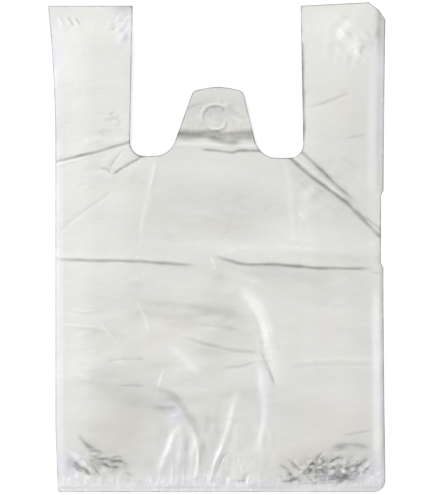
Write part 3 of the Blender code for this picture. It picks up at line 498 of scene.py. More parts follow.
class HandleSizes(bpy.types.PropertyGroup):
    """Sizes of the two loop handles."""

    rise: length("Rise", 0.1375, "Height of the left handle over the mouth")
    right_extra: length("Right Extra", 0.0032, "How much higher the right handle is")
    left_width: length("Left Width", 0.0675, "Width of the left handle")
    right_width: length("Right Width", 0.0745, "Width of the right handle")
    left_spread: length("Left Spread", 0.0068, "How far the left handle leans out")
    spread_length: length("Spread Length", 0.130, "Height over which it leans out")
    inner_lean: length("Inner Lean", 0.0026, "Lean of the handles' inner edges")
    weld: length("Weld", 0.0018, "Width of the weld across a handle's top")
    cut_x: length("Cut Corner Width", 0.015, "Width of the right handle's cut corner")
    cut_y: length("Cut Corner Height", 0.0155, "Height of the right handle's cut corner")
    cut_bulge: length("Cut Corner Bulge", 0.0016, "How far the cut corner bulges out")


class TabSizes(bpy.types.PropertyGroup):
    """Sizes of the mouth's edge, the hanging tab and its punched ring."""

    mouth_tilt: length("Mouth Tilt", 0.0009, "How much the mouth's floor rises on the left")
    mouth_radius: length("Mouth Radius", 0.0125, "Radius of the mouth's outer corners")
    root_width: length("Root Width", 0.081, "Width of the tab at its root")
    top_width: length("Top Width", 0.0455, "Width of the tab at its top")
    height: length("Height", 0.060, "Height of the tab")
    crown: length("Crown", 0.005, "Rise of the tab's top edge in its middle")
    offset: length("Offset", 0.0055, "How far the tab stands left of the middle")
    lean: length("Lean", 0.0032, "How far the tab leans right")
    root_radius: length("Root Radius", 0.0205, "Radius at the tab's root")
    corner_radius: length("Corner Radius", 0.006, "Radius of the tab's top corners")
    crown_radius: length("Crown Radius", 0.060, "Radius in the middle of the tab's top")
    loft: number("Loft", 0.45, "Share of the front's air left at the tab's top")
    ring_radius: length("Ring Radius", 0.011, "Radius of the punched disc")
    ring_slit: length("Ring Slit", 0.0004, "Width of the slit round the disc")
    ring_height: length("Ring Height", 0.0345, "Height of the disc's centre over the mouth")
    ring_nicks: IntProperty(name="Ring Nicks", description="Bridges that hold the disc", default=4)
    ring_sides: IntProperty(name="Ring Sides", description="Sides of the ring's circle", default=48)


class FilmSizes(bpy.types.PropertyGroup):
    """Film thickness, and how far the films stand apart."""

    film: length("Film", 0.00002, "Thickness of the film")
    least_air: length("Least Air", 0.00002, "Air between films pressed together")
    back_air: length("Back Air", 0.0006, "Air over the back panel")
    gusset_air: length("Gusset Air", 0.0004, "Air inside the gusset")
    front_air: length("Front Air", 0.0013, "Air under the front panel")
    roll: length("Roll", 0.004, "How far from a fold or weld the front's quick rise ends")
    quick_share: number("Quick Share", 0.3, "Share of the front's air that this quick rise gives")
    belly: length("Belly", 0.035, "How far from a fold or weld the films are fully open")
    gusset_roll: length("Gusset Roll", 0.016, "How far from its inner fold a gusset is open")
    slack: length("Slack", 0.0005, "Rise of the broad slack waves")
    crease_gain: number("Crease Gain", 0.62, "Multiplies the rise of all creases")
    crumple_gain: number("Crumple Gain", 0.9, "Multiplies the rise of the crumpled patches")
    tone_gain: number("Tone Gain", 0.72, "Multiplies the tone of all creases")
    seed: IntProperty(name="Seed", description="Start of the crumples' random numbers", default=7)
    fine: length("Fine Step", 0.0011, "Distance between the plan's points at the creases")
    calm: length("Calm Step", 0.0088, "The same in calm film: eight fine steps")
    crease_detail: number("Crease Detail", 0.42, "Step of the plan as a share of a crease's width")
    wrinkle_detail: number("Wrinkle Detail", 0.75, "The same for the wrinkles strewn at random")
    side_step: length("Side Step", 0.0046, "Distance between points along the folds and the outline")


class FilmFinish(bpy.types.PropertyGroup):
    """Colours and gloss of the film, and of its painted shade and painted highlights."""

    milky: colour("Milky", (0.750, 0.755, 0.718, 1), "Film lying calm")
    # Painted shade, laid along creases, in soft spots, on the outline and in crumpled patches
    painted_shade: colour("Dark", (0.26, 0.26, 0.24, 1), "Film at a pressed crease, seen edge on")
    # Painted highlight with a cool cast, on glints, the gathered film, and the bands by the side folds and
    # the bottom
    pale: colour("Pale", (0.90, 0.90, 0.93, 1), "Film with a cool cast, whitened by stretch or a weld")
    # Painted highlight without a cast, where the tint is not cool, as on the upper ridge
    cream_highlight: colour("Cream", (0.91, 0.91, 0.885, 1), "Film without a cast, whitened by stretch")
    warm: colour("Warm", (0.76, 0.705, 0.675, 1), "Milky film with a warm cast")
    cool: colour("Cool", (0.73, 0.735, 0.785, 1), "Milky film with a cool cast")
    gloss: number("Roughness", 0.36, "Roughness of the calm film")


class StageSettings(bpy.types.PropertyGroup):
    """Floor, lamps and camera."""

    floor_colour: colour("Floor", (0.80, 0.80, 0.80, 1), "Floor as it lights the bag")
    floor_seen: colour("Floor Seen", (0.24, 0.24, 0.24, 1), "Floor as the camera and gloss see it")
    floor_glow: colour("Floor Glow", (0.80, 0.80, 0.80, 1), "Its glow, as they see it")
    sky: number("Sky", 0.34, "Share of the light that comes evenly from all round")
    backdrop: number("Backdrop", 0.94, "How bright the backdrop behind the floor looks")
    key: number("Key", 0.46, "Share of the light that the low lamp at the upper left gives")
    gleam: number("Gleam", 0.14, "Share of the light that the high lamp on the left gives")
    camera_height: length("Camera Height", 2.4, "Height of the camera over the floor")


def clip(value):
    """A value held between 0 and 1."""
    return np.clip(value, 0.0, 1.0)


def smooth(value):
    """A slope from 0 to 1 with soft ends."""
    t = clip(value)
    return t * t * (3 - 2 * t)


def roll(distance, reach):
    """How far the films have opened at a distance from where they are joined."""
    return np.sin(math.pi / 2 * clip(distance / reach))


def from_photo(pixels):
    """Points of the plan under pixels of the photograph."""
    places = np.array(pixels, float)
    x = CAD_LOW.x + (places[..., 0] - PHOTO_LEFT) * PIXEL
    y = CAD_LOW.y + (PHOTO_BOTTOM - places[..., 1]) * PIXEL
    return np.stack([x, y], axis=-1)


def split_line(start, end, step):
    """Points from start up to but without end, at most a step apart."""
    count = max(1, math.ceil(np.hypot(*(end - start)) / step))
    return start + (end - start) * (np.arange(count) / count)[:, None]


def subdivided(line, step):
    """A line with further points, at most a step apart."""
    pieces = [split_line(a, b, step) for a, b in zip(line, line[1:])]
    return np.vstack([*pieces, line[-1:]])


def flowing(route, step):
    """A smooth curve through the points of a route."""
    ends = 2 * route[:1] - route[1:2], 2 * route[-1:] - route[-2:-1]
    padded = np.vstack([ends[0], route, ends[1]])
    found = []
    for a, b, c, d in zip(padded, padded[1:], padded[2:], padded[3:]):
        count = max(1, math.ceil(np.hypot(*(c - b)) / step))
        t = (np.arange(count) / count)[:, None]
        found.append(
            b + t / 2 * (c - a) + t**2 * (a - 2.5 * b + 2 * c - d / 2)
            + t**3 * (1.5 * (b - c) + (d - a) / 2)
        )
    return np.vstack([*found, route[-1:]])


def wobbled(line):
    """A line whose points sway a little to its sides, as the creases of film do."""
    along = np.cumsum(np.hypot(*np.diff(line, axis=0, prepend=line[:1]).T)) / MM
    run = np.gradient(line, axis=0)
    across = np.stack([-run[:, 1], run[:, 0]], axis=1) / np.hypot(*run.T)[:, None]
    start = line[0].sum() / MM
    (short, little), (long, much) = SWAYS
    sway = np.sin(along / short + start) * little + np.sin(along / long + 3 * start) * much
    return line + across * sway[:, None] * np.minimum(along[-1] / SWAY_LENGTH, 1) * MM


def rounded(corners, arc_step=math.radians(12)):
    """An open line through corners (x, y, radius), with the inner corners rounded."""
    line = [np.array(corners[0][:2])]
    for before, corner, after in zip(corners, corners[1:], corners[2:]):
        a, p, b = (np.array(point[:2]) for point in (before, corner, after))
        room = min(np.hypot(*(p - a)), np.hypot(*(b - p))) / 2
        into, out = (p - a) / np.hypot(*(p - a)), (b - p) / np.hypot(*(b - p))
        cross = into[0] * out[1] - into[1] * out[0]
        turn = math.atan2(abs(cross), into @ out)
        side = math.copysign(1, cross)
        reach = min(corner[2] * math.tan(turn / 2), room)
        start = p - into * reach
        centre = start + side * reach / math.tan(turn / 2) * np.array((-into[1], into[0]))
        arm = start - centre
        for angle in side * turn * np.linspace(0, 1, math.ceil(turn / arc_step) + 1):
            c, s = math.cos(angle), math.sin(angle)
            line.append(centre + np.array((arm[0] * c - arm[1] * s, arm[0] * s + arm[1] * c)))
    line.append(np.array(corners[-1][:2]))
    return np.array(line)


def is_inside(points, polygon):
    """Whether each point lies inside a closed line."""
    inside = np.zeros(len(points), bool)
    x, y = points.T
    for (ax, ay), (bx, by) in zip(polygon, np.roll(polygon, -1, axis=0)):
        if ay == by:
            continue
        crosses = (ay > y) != (by > y)
        inside ^= crosses & (x < ax + (bx - ax) * (y - ay) / (by - ay))
    return inside


class Shape:
    """Where the bag's edges, folds and welds run, in the frame's place. Arrays in, arrays out."""

    def __init__(self, body, handles, tab):
        self.body, self.handles, self.tab = body, handles, tab
        self.left = CAD_LOW.x + handles.left_spread
        self.foot = CAD_LOW.y
        self.left_top = body.mouth_height + handles.rise
        self.right_top = self.left_top + handles.right_extra
        self.left_inner_fold = self.left + body.gusset_depth
        self.right_inner_fold = self.left + body.width - body.gusset_depth
        self.tab_root = self.left + body.width / 2 - tab.offset
        self.tab_top = self.tab_root + tab.lean
        self.ring_centre = np.array((
            (self.tab_root + self.tab_top) / 2,
            self.foot + body.mouth_height + tab.ring_height,
        ))

    def left_side(self, y):
        """X of the left side fold."""
        up = y - self.foot
        tuck = self.body.tuck * clip(1 - up / self.body.tuck_height)
        share = clip((up - self.left_top) / self.handles.spread_length + 1)
        return self.left + tuck - self.handles.left_spread * share**2

    def right_side(self, y):
        """X of the back panel's right side fold."""
        body, up = self.body, y - self.foot
        nick = np.minimum(
            clip((up - body.nick_low) / body.nick_slope),
            clip((body.nick_high - up) / body.nick_slope),
        )
        waist = body.waist * np.sin(math.pi * clip(up / self.right_top))
        return self.left + body.width - waist - body.nick * nick

    def front_side(self, y):
        """X of the front panel's right side fold, which lies inside the back panel's."""
        body = self.body
        fan = body.handle_fan * clip((y - self.foot - body.nick_high) / body.nick_slope + 1)
        return self.right_side(y) - body.front_inset - fan

    def handle_tops(self):
        """The top edges of the two handles, from left to right."""
        handles, left_top = self.handles, self.foot + self.left_top
        right_top = self.foot + self.right_top
        left = np.array([
            (float(self.left_side(left_top)), left_top),
            (self.left + handles.left_width + handles.inner_lean, left_top),
        ])
        outer = float(self.right_side(right_top - handles.cut_y))
        start = np.array((outer - handles.cut_x, right_top))
        end = np.array((outer, right_top - handles.cut_y))
        across = np.array((end[1] - start[1], start[0] - end[0]))
        bulge = (start + end) / 2 - handles.cut_bulge * across / np.hypot(*across)
        inner = self.left + self.body.width - handles.right_width - handles.inner_lean
        return left, np.array([(inner, left_top), start, bulge, end])

    def top_over(self, x):
        """Height of the handle's top edge over x."""
        left, right = self.handle_tops()
        over_left = np.interp(x, *left.T)
        over_right = np.interp(x, *right.T)
        return np.where(x < self.left + self.body.width / 2, over_left, over_right)

    def mouth(self):
        """The punched edge from the left handle's top, round the mouth and tab, to the right's."""
        body, handles, tab = self.body, self.handles, self.tab
        left, right = self.handle_tops()
        floor = self.foot + body.mouth_height
        low, high = floor - tab.mouth_tilt, floor + tab.mouth_tilt
        top = floor + tab.height
        root, half_top = tab.root_width / 2, tab.top_width / 2
        return rounded([
            (*left[1], 0),
            (self.left + handles.left_width, high, tab.mouth_radius),
            (self.tab_root - root, high, tab.root_radius),
            (self.tab_top - half_top, top, tab.corner_radius),
            (self.tab_top, top + tab.crown, tab.crown_radius),
            (self.tab_top + half_top, top, tab.corner_radius),
            (self.tab_root + root, low, tab.root_radius),
            (self.left + body.width - handles.right_width, low, tab.mouth_radius),
            (*right[0], 0),
        ])

    def side_marks(self, step, low=None, high=None):
        """Heights of a side fold's points, which all lines along a side share."""
        body, handles = self.body, self.handles
        bends = sorted({
            -body.fold_width, 2 * body.left_corner, 2 * body.right_corner, body.tuck_height,
            body.nick_low, body.nick_low + body.nick_slope, body.nick_high - body.nick_slope,
            body.nick_high, self.right_top - handles.cut_y, self.left_top,
            self.right_top + body.fold_width,
        })
        marks = []
        for start, end in zip(bends, bends[1:]):
            marks.append(np.linspace(start, end, math.ceil((end - start) / step), endpoint=False))
        marks = np.hstack([*marks, bends[-1:]])
        low = bends[0] if low is None else low
        high = bends[-1] if high is None else high
        tiny = body.fold_width / 100
        return self.foot + marks[(marks > low - tiny) & (marks < high + tiny)]

    def outline(self, step):
        """The whole outline as a closed line, anticlockwise from the lower left corner."""
        body = self.body
        left_end, right_end = 2 * body.left_corner, 2 * body.right_corner
        left_top, right_top = self.handle_tops()
        bottom = rounded([
            (float(self.left_side(self.foot + left_end)), self.foot + left_end, 0),
            (float(self.left_side(self.foot)), self.foot, body.left_corner),
            (float(self.right_side(self.foot)), self.foot, body.right_corner),
            (float(self.right_side(self.foot + right_end)), self.foot + right_end, 0),
        ])
        right_marks = self.side_marks(step, right_end, self.right_top - self.handles.cut_y)
        left_marks = self.side_marks(step, left_end, self.left_top)
        right = np.stack([self.right_side(right_marks), right_marks], axis=1)
        left = np.stack([self.left_side(left_marks), left_marks], axis=1)
        return np.vstack([
            subdivided(bottom, step)[:-1],
            right[:-1],
            subdivided(right_top[::-1], step)[:-1],
            subdivided(self.mouth()[::-1], step)[:-1],
            subdivided(left_top[::-1], step)[:-1],
            left[:0:-1],
        ])

    def ring(self, radius):
        """A circle round the tab's punched disc."""
        turns = 2 * math.pi * np.arange(self.tab.ring_sides) / self.tab.ring_sides
        return self.ring_centre + radius * np.stack([np.cos(turns), np.sin(turns)], axis=1)

    def in_slit(self, points):
        """Whether each point lies in the slit round the tab's disc, and not in a nick."""
        tab = self.tab
        outer = is_inside(points, self.ring(tab.ring_radius + tab.ring_slit))
        inner = is_inside(points, self.ring(tab.ring_radius))
        arm = points - self.ring_centre
        side = (np.arctan2(arm[:, 1], arm[:, 0]) / (2 * math.pi) % 1) * tab.ring_sides
        return outer & ~inner & (side % (tab.ring_sides / tab.ring_nicks) > 1)

    def filled(self, points, edge):
        """Which of the spaces between the heights are film at each point of the plan."""
        body = self.body
        x, y = points.T
        left, right, front = self.left_side(y), self.right_side(y), self.front_side(y)
        over_gusset = (x < self.left_inner_fold) | (x > self.right_inner_fold)
        outer_left = x < left + body.fold_width
        by_inner_fold = (x > self.left_inner_fold - body.fold_width) & (
            x < self.right_inner_fold + body.fold_width
        )
        under_front = x < front
        film = np.zeros((len(points), SPACES), bool)
        film[:, BACK_PANEL] = True
        film[:, BACK_GAP] = over_gusset & (outer_left | (x > right - body.fold_width))
        film[:, LOWER_GUSSET] = over_gusset
        film[:, MIDDLE_GAP] = over_gusset & by_inner_fold
        film[:, UPPER_GUSSET] = over_gusset & under_front
        film[:, FRONT_GAP] = over_gusset & under_front & (outer_left | (x > front - body.fold_width))
        film[:, FRONT_PANEL] = under_front
        welded = (y < self.foot + body.bottom_weld) | (y > self.top_over(x) - self.handles.weld)
        film[welded] = True
        film[~is_inside(points, edge) | self.in_slit(points)] = False
        return film


def beside_route(points, route):
    """For each point its distance from a route, on which side of it and how far along it."""
    gap = np.full(len(points), np.inf)
    side, along, passed = np.zeros(len(points)), np.zeros(len(points)), 0.0
    for a, b in zip(route, route[1:]):
        run = b - a
        stretch = np.hypot(*run)
        arm = points - a
        share = clip(arm @ run / stretch**2)
        off = arm - share[:, None] * run
        here = np.hypot(*off.T)
        nearer = here < gap
        gap = np.where(nearer, here, gap)
        side = np.where(nearer, run[0] * arm[:, 1] - run[1] * arm[:, 0], side)
        along = np.where(nearer, passed + share * stretch, along)
        passed += stretch
    return gap, side, along, passed


class Crease:
    """One crease of the front film, along a smooth route, with its rise and its tone: painted shade where
    the tone is positive, painted highlight where it is negative.
    """

    def __init__(self, rise, left, right, roundness, tone, tone_width, route):
        self.rise, self.widths = rise * MM, (left * MM, right * MM)
        self.roundness, self.tone, self.tone_width = roundness, tone, tone_width * MM
        step = ROUTE_STEP if len(route) > 3 else SHORT_STEP
        self.route = wobbled(flowing(route, step * MM))
        self.reach = max(*self.widths, TONE_REACH * self.tone_width)

    def near(self, points, reach):
        """Numbers of the points that lie within reach of the route's box."""
        low, high = self.route.min(axis=0) - reach, self.route.max(axis=0) + reach
        return np.flatnonzero(((points > low) & (points < high)).all(axis=1))

    def add_to(self, points, height, tone):
        """Adds the crease's height, and its tone of painted shade or highlight, at the points it reaches.
        """
        here = self.near(points, self.reach)
        gap, side, along, total = beside_route(points[here], self.route)
        t = clip(gap / np.where(side > 0, *self.widths))
        fade = min(total / END_PARTS, END_REACHES * self.reach)
        ends = smooth(END_START + np.minimum(along, total - along) / fade)
        height[here] += self.rise * (1 - t) ** 2 * (1 + 2 * self.roundness * t) * ends
        start, (short, long) = self.route[0].sum() / MM, SWELLS
        uneven = np.sin(along / (short * MM) + start) * np.sin(along / (long * MM) + 2 * start)
        width = self.tone_width * (1 + SWELL_WIDTH * uneven)
        plateau = (gap / width) ** (2 + 3 * self.roundness)
        tone[here] += self.tone * np.exp(-plateau) * ends * (1 + SWELL_STRENGTH * uneven)


def triangle_wave(value):
    """A zigzag from -1 to 1 with period 1."""
    return 4 * np.abs(value - np.floor(value + 0.5)) - 1


def facets(points, size, random, turns=5):
    """Flat facets with sharp edges between them, about from -1 to 1, as in crumpled film."""
    total = np.zeros(len(points))
    for _ in range(turns):
        angle, phase, bend = random.uniform(0, 2 * math.pi, 3)
        pitch = size * random.uniform(0.9, 2.2)
        along = points @ np.array((math.cos(angle), math.sin(angle)))
        across = points @ np.array((-math.sin(angle), math.cos(angle)))
        bent = along + 0.35 * size * np.sin(across / size * 1.3 + bend)
        total += triangle_wave(bent / pitch + phase)
    return total / math.sqrt(turns)


def waves(points, size, random, turns=6):
    """Smooth uneven swells, about from -1 to 1."""
    total = np.zeros(len(points))
    for _ in range(turns):
        angle, phase = random.uniform(0, 2 * math.pi, 2)
        pitch = size * random.uniform(0.7, 1.6)
        along = points @ np.array((math.cos(angle), math.sin(angle)))
        total += np.sin(2 * math.pi * along / pitch + phase)
    return total / math.sqrt(turns)


def in_ellipse(points, centre, radii, degrees=0.0):
    """How far out each point lies in an ellipse: 0 in its centre and 1 on its edge."""
    arm = points - from_photo(centre)
    turn = math.radians(degrees)
    along = arm @ np.array((math.cos(turn), math.sin(turn))) / (radii[0] * PIXEL)
    across = arm @ np.array((-math.sin(turn), math.cos(turn))) / (radii[1] * PIXEL)
    return np.hypot(along, across)


def soft_spots(points, spots):
    """The sum at each point of broad soft spots: centre, radii, angle and amount of each."""
    total = np.zeros(len(points))
    for centre, radii, degrees, amount in spots.values():
        total += amount * np.exp(-(in_ellipse(points, centre, radii, degrees) ** 2) * SPOT_FALL)
    return total


def strewn_creases(random):
    """The short creases of all the patches in WRINKLES."""
    found = []
    for centre, radii, count, lengths, width, (mean, spread), rise, tone in WRINKLES.values():
        for _ in range(count):
            out, turn = math.sqrt(random.uniform()), random.uniform(0, 2 * math.pi)
            shift = np.array((math.cos(turn) * radii[0], math.sin(turn) * radii[1])) * out * PIXEL
            angle = math.radians(mean + spread * random.uniform(-1, 1))
            half = random.uniform(*lengths) * MM / 2
            way = np.array((math.cos(angle), math.sin(angle)))
            bow = np.array((-way[1], way[0])) * half * random.uniform(-0.3, 0.3)
            middle = from_photo(centre) + shift
            share = random.uniform(0.4, 1)
            route = np.array([middle - way * half, middle + bow, middle + way * half])
            flank = width * random.uniform(0.75, 1.35)
            look = STREWN_ROUNDNESS, tone * share, STREWN_TONE * flank
            found.append(Crease(rise * share, flank, flank, *look, route))
    return found


class Relief:
    """How high the front film stands at each point, its tone of painted shade and highlight, and its
    crumpling there.
    """

    def __init__(self, sizes):
        self.sizes = sizes
        self.creases = [Crease(*values[:-1], from_photo(values[-1])) for values in CREASES.values()]
        self.strewn = strewn_creases(np.random.default_rng(sizes.seed))

    def patches(self, points):
        """Each crumpled patch: its share at each point, facet size, rise and fine lines."""
        for centre, radii, size, rise, lines in CRUMPLES.values():
            share = smooth(PATCH_FALL * (1 - in_ellipse(points, centre, radii)))
            yield share, size * MM, rise * MM, lines

    def step(self, points):
        """The distance between plan points that the creases ask for at each point."""
        sizes = self.sizes
        wanted = np.full(len(points), sizes.calm)
        shares = [sizes.crease_detail] * len(self.creases) + [sizes.wrinkle_detail] * len(self.strewn)
        for crease, share in zip(self.creases + self.strewn, shares):
            width = min(*crease.widths, 2 * crease.tone_width)
            here = crease.near(points, crease.reach + 2 * sizes.calm)
            gap = beside_route(points[here], crease.route)[0]
            step = STEP_GROWTH * np.maximum(gap - width, 0) + share * width
            wanted[here] = np.minimum(wanted[here], step)
        for share, size, _, _ in self.patches(points):
            wanted = np.where(share > FACET_SHARE, np.minimum(wanted, size / FACET_STEPS), wanted)
        return np.maximum(wanted, sizes.fine)

    def height_and_tone(self, points):
        """Height of the front film over its calm height, and its tone of painted shade and highlight from
        creases and soft spots.
        """
        sizes, random = self.sizes, np.random.default_rng(self.sizes.seed)
        height, tone = np.zeros(len(points)), np.zeros(len(points))
        for crease in self.creases + self.strewn:
            crease.add_to(points, height, tone)
        height *= sizes.crease_gain
        tone *= sizes.tone_gain
        for pitch, stretch, share in (BROAD_WAVES, FLAT_WAVES):
            height += sizes.slack * share * waves(points * np.array((stretch, 1)), pitch, random)
        for share, size, rise, _ in self.patches(points):
            height += sizes.crumple_gain * rise * share * facets(points, size, random)
        return height, tone + soft_spots(points, PAINTED_LIGHT_SPOTS)

    def crumpled(self, points):
        """How densely fine lines of painted shade cover the film at each point, from 0 to 1."""
        return np.max([share * lines for share, _, _, lines in self.patches(points)], axis=0)


class Plan:
    """Points and fixed lines from which the triangles of the plan are made."""

    def __init__(self, start=None):
        self.points = list(start.points) if start else []
        self.lines = list(start.lines) if start else []

    def add_line(self, line, closed=False):
        first = len(self.points)
        self.points += [tuple(point) for point in line]
        last = len(self.points) - 1
        self.lines += [(i, i + 1) for i in range(first, last)]
        if closed:
            self.lines.append((last, first))

    def near(self):
        """A search tree of the points so far."""
        tree = KDTree(len(self.points))
        for i, (x, y) in enumerate(self.points):
            tree.insert((x, y, 0), i)
        tree.balance()
        return tree

    def triangles(self):
        flat = [Vector(point) for point in self.points]
        points, _, faces, _, _, _ = delaunay_2d_cdt(flat, self.lines, [], 0, 1e-7)
        return np.array([tuple(p) for p in points]), np.array([tuple(face) for face in faces])


def fold_lines(plan, shape, sizes):
    """The side folds, the gussets' inner folds and the welds, and where films roll open by them."""
    body, step = shape.body, sizes.side_step
    marks = shape.side_marks(step)
    plan.add_line(np.stack([shape.front_side(marks), marks], axis=1))
    plan.add_line(np.stack([shape.right_side(marks) - body.fold_width, marks], axis=1))
    for share in ROLL_SHARES:
        inset = body.fold_width + share * sizes.roll
        plan.add_line(np.stack([shape.left_side(marks) + inset, marks], axis=1))
        plan.add_line(np.stack([shape.front_side(marks) - inset, marks], axis=1))
    fold_top = shape.foot + body.mouth_height + shape.tab.mouth_radius
    for x, outward in ((shape.left_inner_fold, -1), (shape.right_inner_fold, 1)):
        for shift in (0, body.fold_width, body.fold_width + sizes.roll):
            at = x + shift * outward
            plan.add_line(subdivided(np.array([(at, shape.foot), (at, fold_top)]), step))
    left, right = shape.left_side(shape.foot), shape.right_side(shape.foot)
    for share in ROLL_SHARES:
        y = shape.foot + body.bottom_weld + share * sizes.roll
        plan.add_line(subdivided(np.array([(left, y), (right, y)]), step))
        for line in shape.handle_tops():
            drop = shape.handles.weld + share * sizes.roll
            plan.add_line(subdivided(line - np.array((0, drop)), step))


def ring_lines(plan, shape):
    """The two sides of the slit round the disc, and the ends of the nicks that bridge it."""
    tab = shape.tab
    outer, inner = shape.ring(tab.ring_radius + tab.ring_slit), shape.ring(tab.ring_radius)
    plan.add_line(outer, closed=True)
    plan.add_line(inner, closed=True)
    for i in range(tab.ring_nicks):
        first = i * tab.ring_sides // tab.ring_nicks
        for side in (first, first + 1):
            plan.add_line([inner[side], outer[side]])


def lattice(shape, step, calm):
    """A lattice of triangles over the whole bag, and for each point the widest step it belongs to."""
    rise = step * math.sqrt(3) / 2
    rows = math.ceil(shape.right_top / rise)
    columns = math.ceil((CAD_HIGH.x - CAD_LOW.x) / step)
    i, j = np.meshgrid(np.arange(-rows // 2 - 1, columns + 1), np.arange(rows + 1))
    i, j = i.ravel(), j.ravel()
    points = np.stack([CAD_LOW.x + (i + j / 2) * step, shape.foot + j * rise], axis=1)
    inside = (points[:, 0] < CAD_HIGH.x) & (points[:, 0] > CAD_LOW.x)
    widest = np.full(len(points), step)
    reach = 2
    while reach * step <= calm * 1.01:
        widest[(i % reach == 0) & (j % reach == 0)] = reach * step
        reach *= 2
    return points[inside], widest[inside]


def fixed_plan(shape, sizes, edge):
    """The outline, the folds, the welds and the ring, which both plans hold."""
    plan = Plan()
    plan.add_line(edge, closed=True)
    fold_lines(plan, shape, sizes)
    ring_lines(plan, shape)
    return plan


def calm_plan(fixed, shape, sizes, edge):
    """The plan of the films under the front panel."""
    plan, tree = Plan(fixed), fixed.near()
    points, _ = lattice(shape, sizes.calm, sizes.calm)
    for point in points[is_inside(points, edge)]:
        if tree.find((*point, 0))[2] > CLEARANCE * sizes.calm:
            plan.points.append(tuple(point))
    return plan.triangles()


def front_plan(fixed, shape, sizes, edge, relief):
    """The plan of the front panel, finer at the creases."""
    plan = Plan(fixed)
    margin = sizes.fine
    for crease in relief.creases:
        x, y = crease.route.T
        clear = (x > shape.left_side(y) + margin) & (x < shape.front_side(y) - margin)
        clear &= (y > shape.foot + shape.body.bottom_weld + margin)
        clear &= (y < shape.top_over(x) - shape.handles.weld - margin)
        clear &= is_inside(crease.route, edge)
        if crease.rise and clear.sum() > 1:
            first, last = np.flatnonzero(clear)[[0, -1]]
            plan.add_line(subdivided(crease.route[first : last + 1], CREST_STEP * sizes.fine))
    tree = plan.near()
    points, widest = lattice(shape, sizes.fine, sizes.calm)
    kept = is_inside(points, edge)
    points, widest = points[kept], widest[kept]
    wanted = relief.step(points)
    kept = widest >= wanted / LATTICE_SLACK
    for point, step in zip(points[kept], wanted[kept]):
        if tree.find((*point, 0))[2] > CLEARANCE * step:
            plan.points.append(tuple(point))
    return plan.triangles()


def edge_gaps(points, shape, edge):
    """Distances in mm from the outline, the side folds and the bottom, and how bright the painted
    highlight beside a side fold is.
    """
    x, y = points.T
    rim = beside_route(points, np.vstack([edge, edge[:1]]))[0]
    left, right = x - shape.left_side(y), shape.front_side(y) - x
    row = PHOTO_BOTTOM - (y - CAD_LOW.y) / PIXEL
    on_left, on_right = (np.interp(row, *np.transpose(strip)) for strip in (LEFT_FOLD_HIGHLIGHT, RIGHT_FOLD_HIGHLIGHT))
    return {
        "rim_gap": rim / MM, "left_gap": left / MM, "right_gap": right / MM,
        "low_gap": (y - shape.foot) / MM, "strip": np.where(left < right, on_left, on_right),
    }


def film_heights(points, shape, sizes, rise):
    """The eight heights of the films' faces over each point of the plan."""
    body = shape.body
    x, y = points.T
    low, high = y - shape.foot - body.bottom_weld, shape.top_over(x) - shape.handles.weld - y
    left, right = x - shape.left_side(y) - body.fold_width, shape.right_side(y) - body.fold_width - x
    front_right = shape.front_side(y) - body.fold_width - x
    slow = smooth(low / sizes.belly) * smooth(high / sizes.belly) * smooth(left / sizes.belly)
    quick = roll(low, sizes.roll) * roll(high, sizes.roll) * roll(left, sizes.roll)
    quick = quick * roll(front_right, sizes.roll)
    back = slow * smooth(right / sizes.belly)
    front = slow * smooth(front_right / sizes.belly)
    in_left = smooth((shape.left_inner_fold - body.fold_width - x) / sizes.gusset_roll)
    in_right = smooth((x - shape.right_inner_fold - body.fold_width) / sizes.gusset_roll)
    up_tab = smooth((y - shape.foot - body.mouth_height - shape.tab.mouth_tilt) / shape.tab.height)
    on_tab = np.abs(x - shape.tab_root) < shape.tab.root_width / 2
    front = front * np.where(on_tab, 1 - (1 - shape.tab.loft) * up_tab, 1)
    calm = sizes.quick_share * quick + (1 - sizes.quick_share) * front
    airs = {
        BACK_GAP: sizes.back_air * back,
        MIDDLE_GAP: sizes.gusset_air * back * (in_left + in_right),
        FRONT_GAP: sizes.front_air * calm + rise * quick,
    }
    heights = [np.zeros(len(points))]
    for space in range(SPACES):
        gap = sizes.least_air + np.maximum(0, airs[space]) if space in airs else sizes.film
        heights.append(heights[-1] + gap)
    return np.stack(heights)


def film_faces(count, triangles, filled, levels, spaces):
    """Faces of the film at some levels and walls of some spaces, in level * count + point."""
    empty = np.zeros((len(triangles), 1), bool)
    stack = np.hstack([empty, filled, empty])
    faces = []
    for level in levels:
        under, over = stack[:, level], stack[:, level + 1]
        faces.append(triangles[under & ~over] + level * count)
        faces.append(triangles[over & ~under][:, ::-1] + level * count)
    starts, ends = triangles.ravel(), np.roll(triangles, -1, axis=1).ravel()
    owner = np.repeat(np.arange(len(triangles)), 3)
    keys, mirrored = starts * count + ends, ends * count + starts
    order = np.argsort(keys)
    at = np.minimum(np.searchsorted(keys[order], mirrored), len(keys) - 1)
    found = keys[order][at] == mirrored
    beside = filled[owner[order][at]] & found[:, None]
    walls = filled[owner] & ~beside
    for space in spaces:
        a = starts[walls[:, space]] + space * count
        b = ends[walls[:, space]] + space * count
        faces.append(np.stack([a, b, b + count], axis=1))
        faces.append(np.stack([a, b + count, a + count], axis=1))
    return np.vstack(faces)


